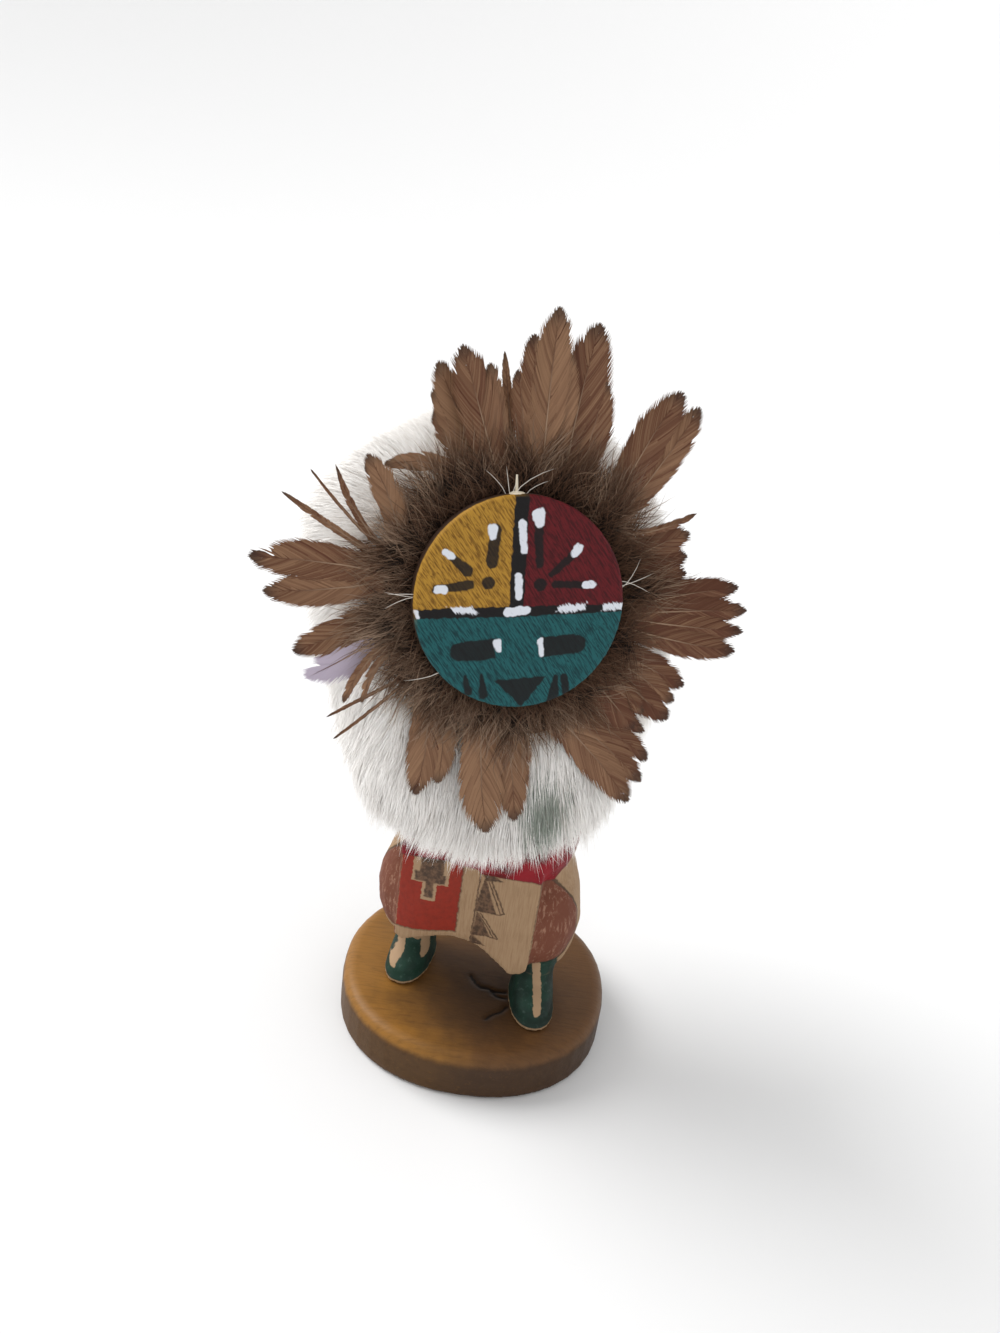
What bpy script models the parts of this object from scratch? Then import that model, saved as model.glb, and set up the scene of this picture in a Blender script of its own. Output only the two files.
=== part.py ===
"""A sun-face dancer doll: a carved and painted cottonwood figure on a slab of stained wood.

The figure is one carved piece, from the soles of its moccasins to the block behind the face.
A round wooden face is glued to that block. A ring of matted down and 25 feathers stand round
the face, and a white rabbit pelt wraps the torso and the back of the head.

Metres, +Z up. The origin is the centre of the base's underside and the figure faces -Y.
"""

import math

import bmesh
import bpy
from mathutils import Matrix, Vector

# Base: a slab sawn from a branch, with softened edges
BASE_WIDTH = 0.0775
BASE_DEPTH = 0.073
BASE_THICKNESS = 0.014
BASE_TOP_ROUND = 0.0034
BASE_UNDER_ROUND = 0.0012
BASE_OUTLINE_POWER = 2.2

# Pieces that touch keep this much air between them
TOUCH_GAP = 0.0003

# Figure: the carver's proportions are counted in parts, 140 of them in the figure's height
FIGURE_HEIGHT = 0.140
PARTS_IN_HEIGHT = 140
PART = FIGURE_HEIGHT / PARTS_IN_HEIGHT

# Face: a round board, glued to the block that ends the figure's neck
FACE_RADIUS = 0.0246
FACE_THICKNESS = 0.0060
FACE_EDGE_ROUND = 0.0008
FACE_YAW = math.radians(15)
FACE_TILT = math.radians(13)
FACE_SPIN = math.radians(5.2)
FACE_CENTRE = Vector((-3.3, -22.0, 125.5)) * PART
HEAD_BLOCK_INSET = 0.0078
HEAD_BLOCK_DEPTH = 0.0170

# Down: the fluffy lower halves of the feathers, matted into one ring behind the face
DOWN_WIDTH = 0.0165
DOWN_DEPTH = 0.0082

# Feathers: flat vanes that stand out of the down, in layers one behind the other
FEATHER_THICKNESS = 0.0006
FEATHER_LAYER_STEP = 0.0014
FEATHER_ROWS = 3
# How far the longest feather curls forward, and how far a vane's edges fall behind its shaft
FEATHER_CURL = 0.0020
VANE_FALL = 0.00025
# Layers that lie in front of the down ring's core
LAYERS_IN_FRONT = 1.6
# Shares of a feather's length that the notches and the round shoulders of its tip cut back
TIP_NOTCH = 0.20
TIP_SHOULDER = 0.10
# A vane's width at its root, for a slender feather and for a broad one, and its swelling above
ROOT_WIDTH_SHARE = 0.34
ROOT_WIDTH = 0.0016
ROOT_WIDENING = 0.16
VANE_SWELL_FROM = 0.06
VANE_SWELL_LENGTH = 0.80
VANE_SWELL_POWER = 0.8

# Fur: a rabbit pelt, whose hollow reaches some parts below the top of the kilt
FUR_CLEARANCE = 0.0006
FUR_HOLLOW_DROP = 8.0

ROUND_SIDES = 32

# Feathers, anticlockwise from the viewer's right: the angle in degrees where each leaves the
# down, the angle of its tip, how far the tip stands out from the face's edge in millimetres,
# its width in millimetres, how many points its tip has, its layer and its sideways bow in
# millimetres
FEATHERS = (
    (6, 5, 19, 8, 2, 1, 0.0),
    (15, 17, 22, 11, 2, 2, 0.0),
    (27, 22, 24, 3, 1, 0, -1.5),
    (38, 47, 37, 15, 2, 1, 1.0),
    (62, 71, 40, 14, 2, 2, 1.0),
    (76, 82, 40, 16, 3, 0, 0.5),
    (88, 91, 31, 5, 1, 2, 0.0),
    (93, 96, 29, 9, 2, 1, 0.0),
    (101, 102, 33, 11, 1, 0, 0.0),
    (109, 109, 30, 10, 2, 2, -1.0),
    (114, 134, 18, 3, 1, 1, -2.5),
    (146, 134, 22, 6, 1, 0, -1.5),
    (155, 142, 25, 3, 1, 2, 1.5),
    (162, 154, 33, 3, 1, 1, 0.0),
    (169, 172, 35, 14, 2, 0, 0.5),
    (185, 194, 28, 13, 2, 2, 0.0),
    (200, 211, 21, 4, 1, 0, 2.0),
    (212, 214, 28, 3, 1, 1, 0.0),
    (222, 244, 27, 12, 3, 2, 2.5),
    (257, 263, 34, 10, 1, 0, -1.0),
    (268, 271, 31, 9, 2, 1, 0.0),
    (283, 302, 36, 15, 3, 2, 2.0),
    (314, 312, 21, 10, 2, 0, 0.0),
    (328, 327, 27, 15, 3, 1, 0.0),
    (347, 353, 34, 21, 3, 0, 0.0),
)
FEATHER_UNIT = 0.001

# Trunk: height, half width and half depth of each section, in parts, from hem to shoulders
TRUNK_CENTRE = (-2.0, 1.0)
TRUNK_YAW = math.radians(-10)
TRUNK_SECTIONS = (
    (12.5, 27.0, 12.0),
    (18.0, 28.6, 13.5),
    (26.0, 29.4, 14.5),
    (36.0, 27.6, 15.0),
    (46.0, 24.2, 15.0),
    (58.0, 21.5, 14.0),
    (72.0, 18.5, 13.0),
    (86.0, 19.5, 13.0),
    (94.0, 18.0, 12.0),
    (100.0, 13.0, 10.0),
)
TRUNK_POWER = 2.4

# Belt: a red roll of cloth, carved round the waist, lower on the figure's left
BELT_SECTIONS = (
    (-7.2, 0.2),
    (-6.0, 1.7),
    (-2.5, 2.7),
    (2.5, 2.7),
    (6.0, 1.9),
    (7.2, 0.2),
)
BELT_HEIGHT = 53.0
BELT_HALF_WIDTH = 22.2
BELT_HALF_DEPTH = 16.4
BELT_TILT = math.radians(5)

# Kilt front: a panel that hangs over both thighs, arched between the legs
KILT_LEFT = -20.5
KILT_RIGHT = 18.6
KILT_TOP = 48.0
KILT_HEM = 12.8
KILT_HEM_SLOPE = 0.065
KILT_ARCH_MIDDLE = -2.0
KILT_ARCH_RISE = 5.0
KILT_ARCH_HALF_WIDTH = 16.5
# The hollow between the legs: narrower than the arch of the hem, lower and taller
HOLLOW_INSET = 5.0
HOLLOW_DROP = 1.0
HOLLOW_RISE = 3.0
KILT_CORNER_RISE = 12.0
KILT_PLY = 4.5
KILT_FRONT_AT_HEM = 12.5
KILT_FRONT_AT_TOP = 16.2
KILT_LEG_SWELL = 3.5
LEG_SPACING = 30.0

# Thighs: bare, rounded, seen in the slits of the kilt
THIGH_CENTRE = (17.0, -4.0, 28.0)
THIGH_RADII = (12.0, 11.6, 17.5)

# Arms: held in at the sides under the pelt, from shoulder to elbow to fist
ARM_JOINTS = (
    (17.5, 3.0, 91.0, 5.6),
    (21.0, 1.0, 75.0, 4.8),
    (18.0, -9.0, 66.0, 4.4),
)

# Moccasins: centre, and the angle each turns out by, with the figure's right foot first
FOOT_LENGTH = 25.0
FOOT_WIDTH = 13.2
FEET = (
    (-19.4, -0.5, math.radians(-12)),
    (16.8, -11.0, math.radians(6)),
)
# Height, share of the foot's length and width, and how far back the section sits
FOOT_SECTIONS = (
    (0.0, 1.00, 1.00, 0.0),
    (1.0, 1.00, 1.00, 0.0),
    (1.3, 0.95, 0.92, 0.1),
    (4.0, 0.91, 0.91, 0.5),
    (6.5, 0.76, 0.86, 2.0),
    (9.0, 0.60, 0.84, 4.0),
    (16.0, 0.58, 0.88, 4.6),
    (22.0, 0.54, 0.86, 4.8),
)
FOOT_POWER = 2.3

# Fur: height, left, right, front and back of each section, in parts
FUR_SECTIONS = (
    (53.5, -29.0, 25.0, -20.5, 22.0),
    (56.0, -36.0, 28.0, -23.5, 29.0),
    (63.0, -43.0, 31.5, -25.5, 35.5),
    (73.0, -47.5, 34.5, -26.0, 40.0),
    (87.0, -51.5, 37.5, -24.5, 43.5),
    (107.0, -57.5, 39.0, -21.5, 45.5),
    (126.0, -61.0, 36.5, -17.5, 44.5),
    (138.0, -58.5, 31.0, -12.5, 41.0),
    (149.0, -48.0, 23.0, -6.0, 36.0),
    (158.0, -35.0, 12.0, 1.0, 29.0),
    (164.0, -23.0, -1.0, 8.0, 21.0),
)
FUR_POWER = 2.15
# The lower edge is drawn up at the figure's left: by this share of the way across, from here
FUR_HEM_LIFT = 0.28
FUR_HEM_LIFT_FROM = -2.0
FUR_HEM_LIFT_TOP = 95.0
FUR_TUFTS = 7
FUR_TUFT_DEPTH = 0.022
NECK_RADIUS = 9.5
NECK_FOOT = Vector((-1.2, 1.0, 92.0))

COLOURS = {
    "stained_wood": ((0.27, 0.145, 0.055, 1.0), 0.50),
    "painted_wood": ((0.43, 0.31, 0.20, 1.0), 0.72),
    "painted_face": ((0.035, 0.20, 0.21, 1.0), 0.62),
    "brown_down": ((0.085, 0.050, 0.032, 1.0), 0.90),
    "brown_feather": ((0.17, 0.09, 0.05, 1.0), 0.65),
    "white_fur": ((0.78, 0.75, 0.71, 1.0), 0.85),
}


def clear_scene():
    for thing in list(bpy.data.objects):
        bpy.data.objects.remove(thing)


def material(name):
    """The Principled material of that name, made once."""
    found = bpy.data.materials.get(name)
    if found:
        return found
    colour, roughness = COLOURS[name]
    made = bpy.data.materials.new(name)
    made.use_nodes = True
    shader = made.node_tree.nodes["Principled BSDF"]
    shader.inputs["Base Color"].default_value = colour
    shader.inputs["Roughness"].default_value = roughness
    shader.inputs["Metallic"].default_value = 0.0
    return made


def new_object(name, mesh, collection):
    made = bpy.data.objects.new(name, mesh)
    collection.objects.link(made)
    return made


def mesh_of(builder, name):
    """A mesh from a closed bmesh, which is then freed, with its faces pointing out."""
    bmesh.ops.recalc_face_normals(builder, faces=builder.faces)
    if builder.calc_volume(signed=True) < 0:
        bmesh.ops.reverse_faces(builder, faces=builder.faces)
    mesh = bpy.data.meshes.new(name)
    builder.to_mesh(mesh)
    builder.free()
    return mesh


def oval_ring(centre, half_width, half_depth, height, power, yaw=0.0, sides=ROUND_SIDES):
    """Points round a superellipse: 2 is an ellipse, and a higher power is squarer."""
    turn = Matrix.Rotation(yaw, 3, "Z")
    points = []
    for step in range(sides):
        angle = 2 * math.pi * step / sides
        across, along = math.cos(angle), math.sin(angle)
        reach = (abs(across) ** power + abs(along) ** power) ** (-1 / power)
        flat = Vector((half_width * reach * across, half_depth * reach * along, 0))
        points.append(turn @ flat + Vector((centre[0], centre[1], height)))
    return points


def loft(name, rings, collection):
    """A closed solid through rings of points, capped at both ends."""
    builder = bmesh.new()
    loops = [[builder.verts.new(point) for point in ring] for ring in rings]
    sides = len(rings[0])
    builder.faces.new(loops[0])
    for lower, upper in zip(loops, loops[1:]):
        for step in range(sides):
            after = (step + 1) % sides
            builder.faces.new((lower[step], lower[after], upper[after], upper[step]))
    builder.faces.new(loops[-1])
    return new_object(name, mesh_of(builder, name), collection)


def smooth_sections(sections, steps):
    """The sections with others between them, on a smooth curve through all of them."""
    made = []
    last = len(sections) - 1
    for index in range(last):
        before = sections[max(index - 1, 0)]
        here, there = sections[index], sections[index + 1]
        after = sections[min(index + 2, last)]
        for step in range(steps):
            t = step / steps
            made.append(tuple(
                b + 0.5 * t * (c - a + t * (2 * a - 5 * b + 4 * c - d + t * (3 * (b - c) + d - a)))
                for a, b, c, d in zip(before, here, there, after)
            ))
    made.append(sections[-1])
    return made


def join_or_cut(target, tool, operation):
    """Applies a Boolean to target's mesh and removes the tool."""
    modifier = target.modifiers.new(operation, "BOOLEAN")
    modifier.operation = operation
    modifier.object = tool
    modifier.solver = "EXACT"
    graph = bpy.context.evaluated_depsgraph_get()
    mesh = bpy.data.meshes.new_from_object(target.evaluated_get(graph))
    target.modifiers.clear()
    target.data = mesh
    bpy.data.objects.remove(tool)


def finish(thing, material_name, frame):
    """Gives a piece its material, smooth shading and the empty that it is placed by."""
    thing.data.materials.clear()
    thing.data.materials.append(material(material_name))
    thing.data.shade_smooth()
    thing.data.set_sharp_from_angle(angle=math.radians(40))
    thing.parent = frame
    return thing


def bevel(thing, width, segments, weighted=False):
    modifier = thing.modifiers.new("rounded edges", "BEVEL")
    modifier.width = width
    modifier.segments = segments
    modifier.limit_method = "WEIGHT" if weighted else "ANGLE"
    modifier.angle_limit = math.radians(40)
    return modifier


def primitive(name, mesh_maker, collection):
    """Runs a bmesh primitive and keeps it as an object."""
    builder = bmesh.new()
    mesh_maker(builder)
    return new_object(name, mesh_of(builder, name), collection)


def face_placing():
    """Where the face's front is: local +Z looks out of it and +Y is its top."""
    return (
        Matrix.Translation(FACE_CENTRE)
        @ Matrix.Rotation(FACE_YAW, 4, "Z")
        @ Matrix.Rotation(math.pi / 2 - FACE_TILT, 4, "X")
        @ Matrix.Rotation(FACE_SPIN, 4, "Z")
    )


def make_base(collection):
    """The slab: a squarish oval with a rounded rim."""
    def slab(underside, top, shrink, name):
        half_width = BASE_WIDTH / 2 - shrink
        half_depth = BASE_DEPTH / 2 - shrink
        rings = [
            oval_ring((0, 0), half_width, half_depth, height, BASE_OUTLINE_POWER, sides=44)
            for height in (underside, top)
        ]
        return loft(name, rings, collection)

    base = slab(0.0, BASE_THICKNESS, 0.0, "base")
    mesh = base.data
    weights = mesh.attributes.new("bevel_weight_edge", "FLOAT", "EDGE")
    for edge in mesh.edges:
        heights = [mesh.vertices[index].co.z for index in edge.vertices]
        if max(heights) - min(heights) < TOUCH_GAP:
            at_top = heights[0] > BASE_THICKNESS / 2
            weights.data[edge.index].value = 1.0 if at_top else BASE_UNDER_ROUND / BASE_TOP_ROUND
    bevel(base, BASE_TOP_ROUND, 4, weighted=True)
    return base


def trunk_rings(extra=0.0, from_height=0.0):
    """Rings of the kilt's back, the torso and the shoulders, grown by extra."""
    return [
        oval_ring(
            [c * PART for c in TRUNK_CENTRE],
            half_width * PART + extra,
            half_depth * PART + extra,
            height * PART,
            TRUNK_POWER,
            TRUNK_YAW,
        )
        for height, half_width, half_depth in TRUNK_SECTIONS
        if height >= from_height
    ]


def make_belt(name, extra, collection):
    """The roll at the waist, tilted down towards the figure's left."""
    rings = []
    centre = [c * PART for c in TRUNK_CENTRE]
    tilt = (
        Matrix.Translation((centre[0], centre[1], BELT_HEIGHT * PART))
        @ Matrix.Rotation(BELT_TILT, 4, "Y")
    )
    for rise, swell in BELT_SECTIONS:
        ring = oval_ring(
            (0, 0),
            (BELT_HALF_WIDTH + swell) * PART + extra,
            (BELT_HALF_DEPTH + swell) * PART + extra,
            rise * PART + math.copysign(extra, rise),
            TRUNK_POWER,
            TRUNK_YAW,
        )
        rings.append([tilt @ point for point in ring])
    return loft(name, rings, collection)


def kilt_depth(across, height):
    """How far the kilt's front stands forward of the trunk's middle, in parts."""
    rise = (height - KILT_HEM) / (KILT_TOP - KILT_HEM)
    leg = 0.5 - 0.5 * math.cos(2 * math.pi * across / LEG_SPACING)
    flat = KILT_FRONT_AT_HEM + (KILT_FRONT_AT_TOP - KILT_FRONT_AT_HEM) * rise
    return flat + KILT_LEG_SWELL * leg * (1 - rise) ** 0.7


def kilt_hem(across):
    """The hem's height, in parts: low over each leg, arched between them, cut up at the corners."""
    share = abs(across - KILT_ARCH_MIDDLE) / KILT_ARCH_HALF_WIDTH
    slope = KILT_HEM_SLOPE * (KILT_RIGHT - across)
    if share > 1:
        return KILT_HEM + slope + KILT_CORNER_RISE * (share - 1)
    return KILT_HEM + slope + KILT_ARCH_RISE * (1 - share ** 2)


def make_kilt_front(collection):
    """The front panel: a draped sheet with thickness, let into the trunk."""
    columns, rows = 18, 5
    builder = bmesh.new()
    bmesh.ops.create_grid(builder, x_segments=columns, y_segments=rows, size=1.0)
    turn = Matrix.Rotation(TRUNK_YAW, 3, "Z")
    centre = Vector((TRUNK_CENTRE[0], TRUNK_CENTRE[1], 0))
    for vertex in builder.verts:
        across = KILT_LEFT + (KILT_RIGHT - KILT_LEFT) * (vertex.co.x + 1) / 2
        hem = kilt_hem(across)
        height = hem + (KILT_TOP - hem) * (vertex.co.y + 1) / 2
        front = Vector((across, -kilt_depth(across, height), height))
        vertex.co = (turn @ front + centre) * PART
    mesh = bpy.data.meshes.new("kilt_front")
    builder.to_mesh(mesh)
    builder.free()
    panel = new_object("kilt_front", mesh, collection)
    thickness = panel.modifiers.new("ply", "SOLIDIFY")
    thickness.thickness = KILT_PLY * PART
    thickness.offset = -1.0
    graph = bpy.context.evaluated_depsgraph_get()
    panel.data = bpy.data.meshes.new_from_object(panel.evaluated_get(graph))
    panel.modifiers.clear()
    return panel


def make_thigh(side, collection):
    """A bare thigh: a long rounded swelling at the side of the trunk."""
    middle = Vector((side * THIGH_CENTRE[0], THIGH_CENTRE[1], THIGH_CENTRE[2]))
    turn = Matrix.Rotation(TRUNK_YAW, 4, "Z")
    centre = Vector((TRUNK_CENTRE[0], TRUNK_CENTRE[1], 0))
    placing = (
        Matrix.Translation(centre * PART)
        @ turn
        @ Matrix.Translation(middle * PART)
        @ Matrix.Diagonal([radius * PART for radius in THIGH_RADII] + [1.0])
    )
    return primitive(
        "thigh",
        lambda builder: bmesh.ops.create_uvsphere(
            builder, u_segments=18, v_segments=10, radius=1.0, matrix=placing),
        collection,
    )


def make_leg(foot, collection):
    """A moccasin with its sole, and the leg above it."""
    across, along, turn_out = foot
    back = Vector((-math.sin(turn_out), math.cos(turn_out)))
    rings = []
    for height, length, width, set_back in FOOT_SECTIONS:
        centre = (Vector((across, along)) + back * set_back) * PART
        rings.append(oval_ring(
            centre,
            width * FOOT_WIDTH / 2 * PART,
            length * FOOT_LENGTH / 2 * PART,
            height * PART + TOUCH_GAP,
            FOOT_POWER,
            turn_out,
            sides=20,
        ))
    return loft("leg", rings, collection)


def make_arch_cutter(collection):
    """The hollow under the kilt, between the legs and through to the back."""
    turn = Matrix.Rotation(TRUNK_YAW, 4, "Z")
    centre = Vector((TRUNK_CENTRE[0] + KILT_ARCH_MIDDLE, TRUNK_CENTRE[1], KILT_HEM - HOLLOW_DROP))
    length = 4 * BELT_HALF_DEPTH
    shape = Matrix.Diagonal((
        (KILT_ARCH_HALF_WIDTH - HOLLOW_INSET) * PART,
        (KILT_ARCH_RISE + HOLLOW_RISE) * PART,
        length * PART,
        1.0,
    ))
    placing = Matrix.Translation(centre * PART) @ turn @ Matrix.Rotation(math.pi / 2, 4, "X") @ shape
    return primitive(
        "arch",
        lambda builder: bmesh.ops.create_cone(
            builder, cap_ends=True, segments=24, radius1=1.0, radius2=1.0, depth=1.0,
            matrix=placing),
        collection,
    )


def arm_ball(joint, side, extra):
    """Where a joint of the arm is, and its radius."""
    turn = Matrix.Rotation(TRUNK_YAW, 3, "Z")
    across, along, height, radius = joint
    place = turn @ Vector((side * across, along, height))
    place += Vector((TRUNK_CENTRE[0], TRUNK_CENTRE[1], 0))
    return place * PART, radius * PART + extra


def make_arm(side, extra, collection):
    """An arm: two tapering limbs that meet in a round elbow, with a round fist."""
    joints = [arm_ball(joint, side, extra) for joint in ARM_JOINTS]
    arm = None
    for (start, start_radius), (end, end_radius) in zip(joints, joints[1:]):
        direction = end - start
        placing = (
            Matrix.Translation((start + end) / 2)
            @ direction.to_track_quat("Z", "Y").to_matrix().to_4x4()
        )
        limb = primitive(
            "limb",
            lambda builder: bmesh.ops.create_cone(
                builder, cap_ends=True, segments=10, radius1=start_radius, radius2=end_radius,
                depth=direction.length, matrix=placing),
            collection,
        )
        knob = primitive(
            "knob",
            lambda builder: bmesh.ops.create_uvsphere(
                builder, u_segments=10, v_segments=6, radius=end_radius * 1.04,
                matrix=Matrix.Translation(end)),
            collection,
        )
        join_or_cut(limb, knob, "UNION")
        if arm is None:
            arm = limb
        else:
            join_or_cut(arm, limb, "UNION")
    return arm


def head_block_radius():
    return FACE_RADIUS - HEAD_BLOCK_INSET


def make_head_block(extra, collection):
    """The round block that the face is glued to."""
    front = -(FACE_THICKNESS + TOUCH_GAP) + extra
    depth = HEAD_BLOCK_DEPTH + 2 * extra
    radius = head_block_radius() + extra
    placing = face_placing() @ Matrix.Translation((0, 0, front - depth / 2))
    return primitive(
        "head_block",
        lambda builder: bmesh.ops.create_cone(
            builder, cap_ends=True, segments=ROUND_SIDES, radius1=radius, radius2=radius,
            depth=depth, matrix=placing),
        collection,
    )


def make_neck(extra, collection):
    """The neck, from inside the shoulders to inside the head block."""
    foot = NECK_FOOT * PART
    top = face_placing() @ Vector((0, 0, -FACE_THICKNESS - HEAD_BLOCK_DEPTH * 0.6))
    direction = top - foot
    placing = (
        Matrix.Translation((foot + top) / 2)
        @ direction.to_track_quat("Z", "Y").to_matrix().to_4x4()
    )
    radius = NECK_RADIUS * PART + extra
    return primitive(
        "neck",
        lambda builder: bmesh.ops.create_cone(
            builder, cap_ends=True, segments=16, radius1=radius, radius2=radius,
            depth=direction.length, matrix=placing),
        collection,
    )


def make_figure(collection):
    """The carved figure: legs, kilt, belt, torso, neck and head block, in one solid."""
    figure = loft("figure", trunk_rings(), collection)
    join_or_cut(figure, make_arch_cutter(collection), "DIFFERENCE")
    for side in (-1, 1):
        join_or_cut(figure, make_thigh(side, collection), "UNION")
    join_or_cut(figure, make_kilt_front(collection), "UNION")
    for foot in FEET:
        join_or_cut(figure, make_leg(foot, collection), "UNION")
    join_or_cut(figure, make_belt("belt", 0.0, collection), "UNION")
    for side in (-1, 1):
        join_or_cut(figure, make_arm(side, 0.0, collection), "UNION")
    join_or_cut(figure, make_neck(0.0, collection), "UNION")
    join_or_cut(figure, make_head_block(0.0, collection), "UNION")
    return figure


def make_face(collection):
    """The face board, modelled in the face's own frame."""
    face = primitive(
        "face_disc",
        lambda builder: bmesh.ops.create_cone(
            builder, cap_ends=True, segments=44, radius1=FACE_RADIUS, radius2=FACE_RADIUS,
            depth=FACE_THICKNESS, matrix=Matrix.Translation((0, 0, -FACE_THICKNESS / 2))),
        collection,
    )
    bevel(face, FACE_EDGE_ROUND, 2)
    return face


def down_middle_radius():
    """The radius of the down ring's core, which leaves the head block clear."""
    return head_block_radius() + 2 * TOUCH_GAP + DOWN_WIDTH / 2


def down_middle_depth():
    """How far behind the face's front the down ring's core lies."""
    return FACE_THICKNESS + TOUCH_GAP + DOWN_DEPTH / 2


def make_down(collection):
    """The ring of down: a flattened ring with a lightly tufted outside."""
    bpy.ops.mesh.primitive_torus_add(
        major_segments=32, minor_segments=8, major_radius=down_middle_radius(),
        minor_radius=DOWN_WIDTH / 2)
    down = bpy.context.object
    down.name = "down_ring"
    down.data.name = "down_ring"
    for owner in list(down.users_collection):
        owner.objects.unlink(down)
    collection.objects.link(down)
    for vertex in down.data.vertices:
        vertex.co.z *= DOWN_DEPTH / DOWN_WIDTH
        vertex.co.z -= down_middle_depth()
    return down


def feather_layer(layer):
    """How far behind the face's front a layer of feathers lies."""
    middle = down_middle_depth()
    return middle + (layer - LAYERS_IN_FRONT) * FEATHER_LAYER_STEP


def down_reach(depth):
    """The down ring's outer radius at that depth behind the face's front."""
    off = (depth - down_middle_depth()) / (DOWN_DEPTH / 2)
    return down_middle_radius() + DOWN_WIDTH / 2 * math.sqrt(max(1 - off * off, 0.0))


def vane_width(share, width):
    """A vane's half width at a share of its length: narrow root, broad middle."""
    root = min(ROOT_WIDTH_SHARE * width, ROOT_WIDTH + ROOT_WIDENING * width)
    along = min(VANE_SWELL_FROM + share * VANE_SWELL_LENGTH, 1.0)
    swell = math.sin(math.pi * along) ** VANE_SWELL_POWER
    return root / 2 + (width - root) / 2 * swell


def longest_feather():
    """The radius that the longest feather reaches from the middle of the face."""
    return FACE_RADIUS + max(row[2] for row in FEATHERS) * FEATHER_UNIT


def vane_forward(radius, across):
    """How far a vane stands forward of its layer, at a radius and a share of its half width."""
    out = max(radius - FACE_RADIUS, 0.0) / (longest_feather() - FACE_RADIUS)
    return FEATHER_CURL * out ** 2 - VANE_FALL * abs(across)


def make_feather(name, row, collection):
    """One feather: a thin vane with a pointed or split tip, lofted from its root to its tip."""
    root_angle, tip_angle, stand_out, width_mm, points, layer, bow_mm = row
    depth = feather_layer(layer)
    width = width_mm * FEATHER_UNIT
    nearest = max(down_reach(depth - FEATHER_THICKNESS), down_reach(depth + FEATHER_THICKNESS))
    root_radius = nearest + TOUCH_GAP
    tip_radius = FACE_RADIUS + stand_out * FEATHER_UNIT
    root = Vector((math.cos(math.radians(root_angle)), math.sin(math.radians(root_angle))))
    tip = Vector((math.cos(math.radians(tip_angle)), math.sin(math.radians(tip_angle))))
    start, end = root * root_radius, tip * tip_radius
    ahead = (end - start).normalized()
    side = Vector((-ahead.y, ahead.x))
    length = (end - start).length
    columns = 2 * points
    half_thick = Vector((0, 0, FEATHER_THICKNESS / 2))
    rings = []
    for row_number in range(FEATHER_ROWS + 1):
        share = row_number / FEATHER_ROWS
        middle = []
        for column in range(columns + 1):
            across = 2 * column / columns - 1
            split = abs(math.sin(points * math.pi * (across + 1) / 2))
            shoulder = TIP_SHOULDER * across ** 2
            reach = share * (1 - (TIP_NOTCH * (1 - split) + shoulder) * share ** 2)
            bow = bow_mm * FEATHER_UNIT * 4 * share * (1 - share)
            offset = across * vane_width(share, width) + bow
            flat = start + ahead * (length * reach) + side * offset
            keep_out = root_radius / flat.length
            if keep_out > 1:
                flat = flat * keep_out
            middle.append(Vector((flat.x, flat.y, vane_forward(flat.length, across) - depth)))
        front = [point + half_thick for point in middle]
        back = [point - half_thick for point in reversed(middle)]
        rings.append(front + back)
    return loft(name, rings, collection)


def make_fur(collection):
    """The pelt: a tufted egg, hollow for the torso and the head block, flat behind the feathers."""
    rings = []
    sides = 32
    for height, left, right, front, back in smooth_sections(FUR_SECTIONS, 2):
        centre = ((left + right) / 2 * PART, (front + back) / 2 * PART)
        ring = oval_ring(
            centre, (right - left) / 2 * PART, (back - front) / 2 * PART, height * PART,
            FUR_POWER, FACE_YAW, sides)
        fade = max(FUR_HEM_LIFT_TOP - height, 0.0) / (FUR_HEM_LIFT_TOP - FUR_SECTIONS[0][0])
        for step, point in enumerate(ring):
            angle = 2 * math.pi * step / sides
            wave = math.sin(FUR_TUFTS * angle + height * 0.11) * math.cos(height * 0.23 + angle)
            grow = 1 + FUR_TUFT_DEPTH * wave
            point.x = centre[0] + (point.x - centre[0]) * grow
            point.y = centre[1] + (point.y - centre[1]) * grow
            past = max(point.x - FUR_HEM_LIFT_FROM * PART, 0.0)
            point.z += FUR_HEM_LIFT * fade * past
        rings.append(ring)
    fur = loft("fur_pelt", rings, collection)
    cavity = loft("cavity", trunk_rings(FUR_CLEARANCE, KILT_TOP - FUR_HOLLOW_DROP), collection)
    join_or_cut(cavity, make_belt("belt_room", FUR_CLEARANCE, collection), "UNION")
    for side in (-1, 1):
        join_or_cut(cavity, make_arm(side, FUR_CLEARANCE, collection), "UNION")
    join_or_cut(cavity, make_neck(FUR_CLEARANCE, collection), "UNION")
    join_or_cut(cavity, make_head_block(FUR_CLEARANCE, collection), "UNION")
    join_or_cut(fur, cavity, "DIFFERENCE")
    join_or_cut(fur, make_feather_room(collection), "DIFFERENCE")
    join_or_cut(fur, make_down_room(collection), "DIFFERENCE")
    return fur


def room(name, radius, behind, collection):
    """A round clearance in front of the fur, reaching that far behind the face's front."""
    depth = behind + 2 * FACE_RADIUS
    placing = face_placing() @ Matrix.Translation((0, 0, depth / 2 - behind))
    return primitive(
        name,
        lambda builder: bmesh.ops.create_cone(
            builder, cap_ends=True, segments=ROUND_SIDES, radius1=radius, radius2=radius,
            depth=depth, matrix=placing),
        collection,
    )


def make_feather_room(collection):
    last_layer = feather_layer(max(row[5] for row in FEATHERS))
    return room(
        "feather_room", longest_feather() + FUR_CLEARANCE, last_layer + FEATHER_THICKNESS + FUR_CLEARANCE,
        collection)


def make_down_room(collection):
    outer = down_middle_radius() + DOWN_WIDTH / 2
    back = down_middle_depth() + DOWN_DEPTH / 2
    return room("down_room", outer + FUR_CLEARANCE, back + FUR_CLEARANCE, collection)


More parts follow.
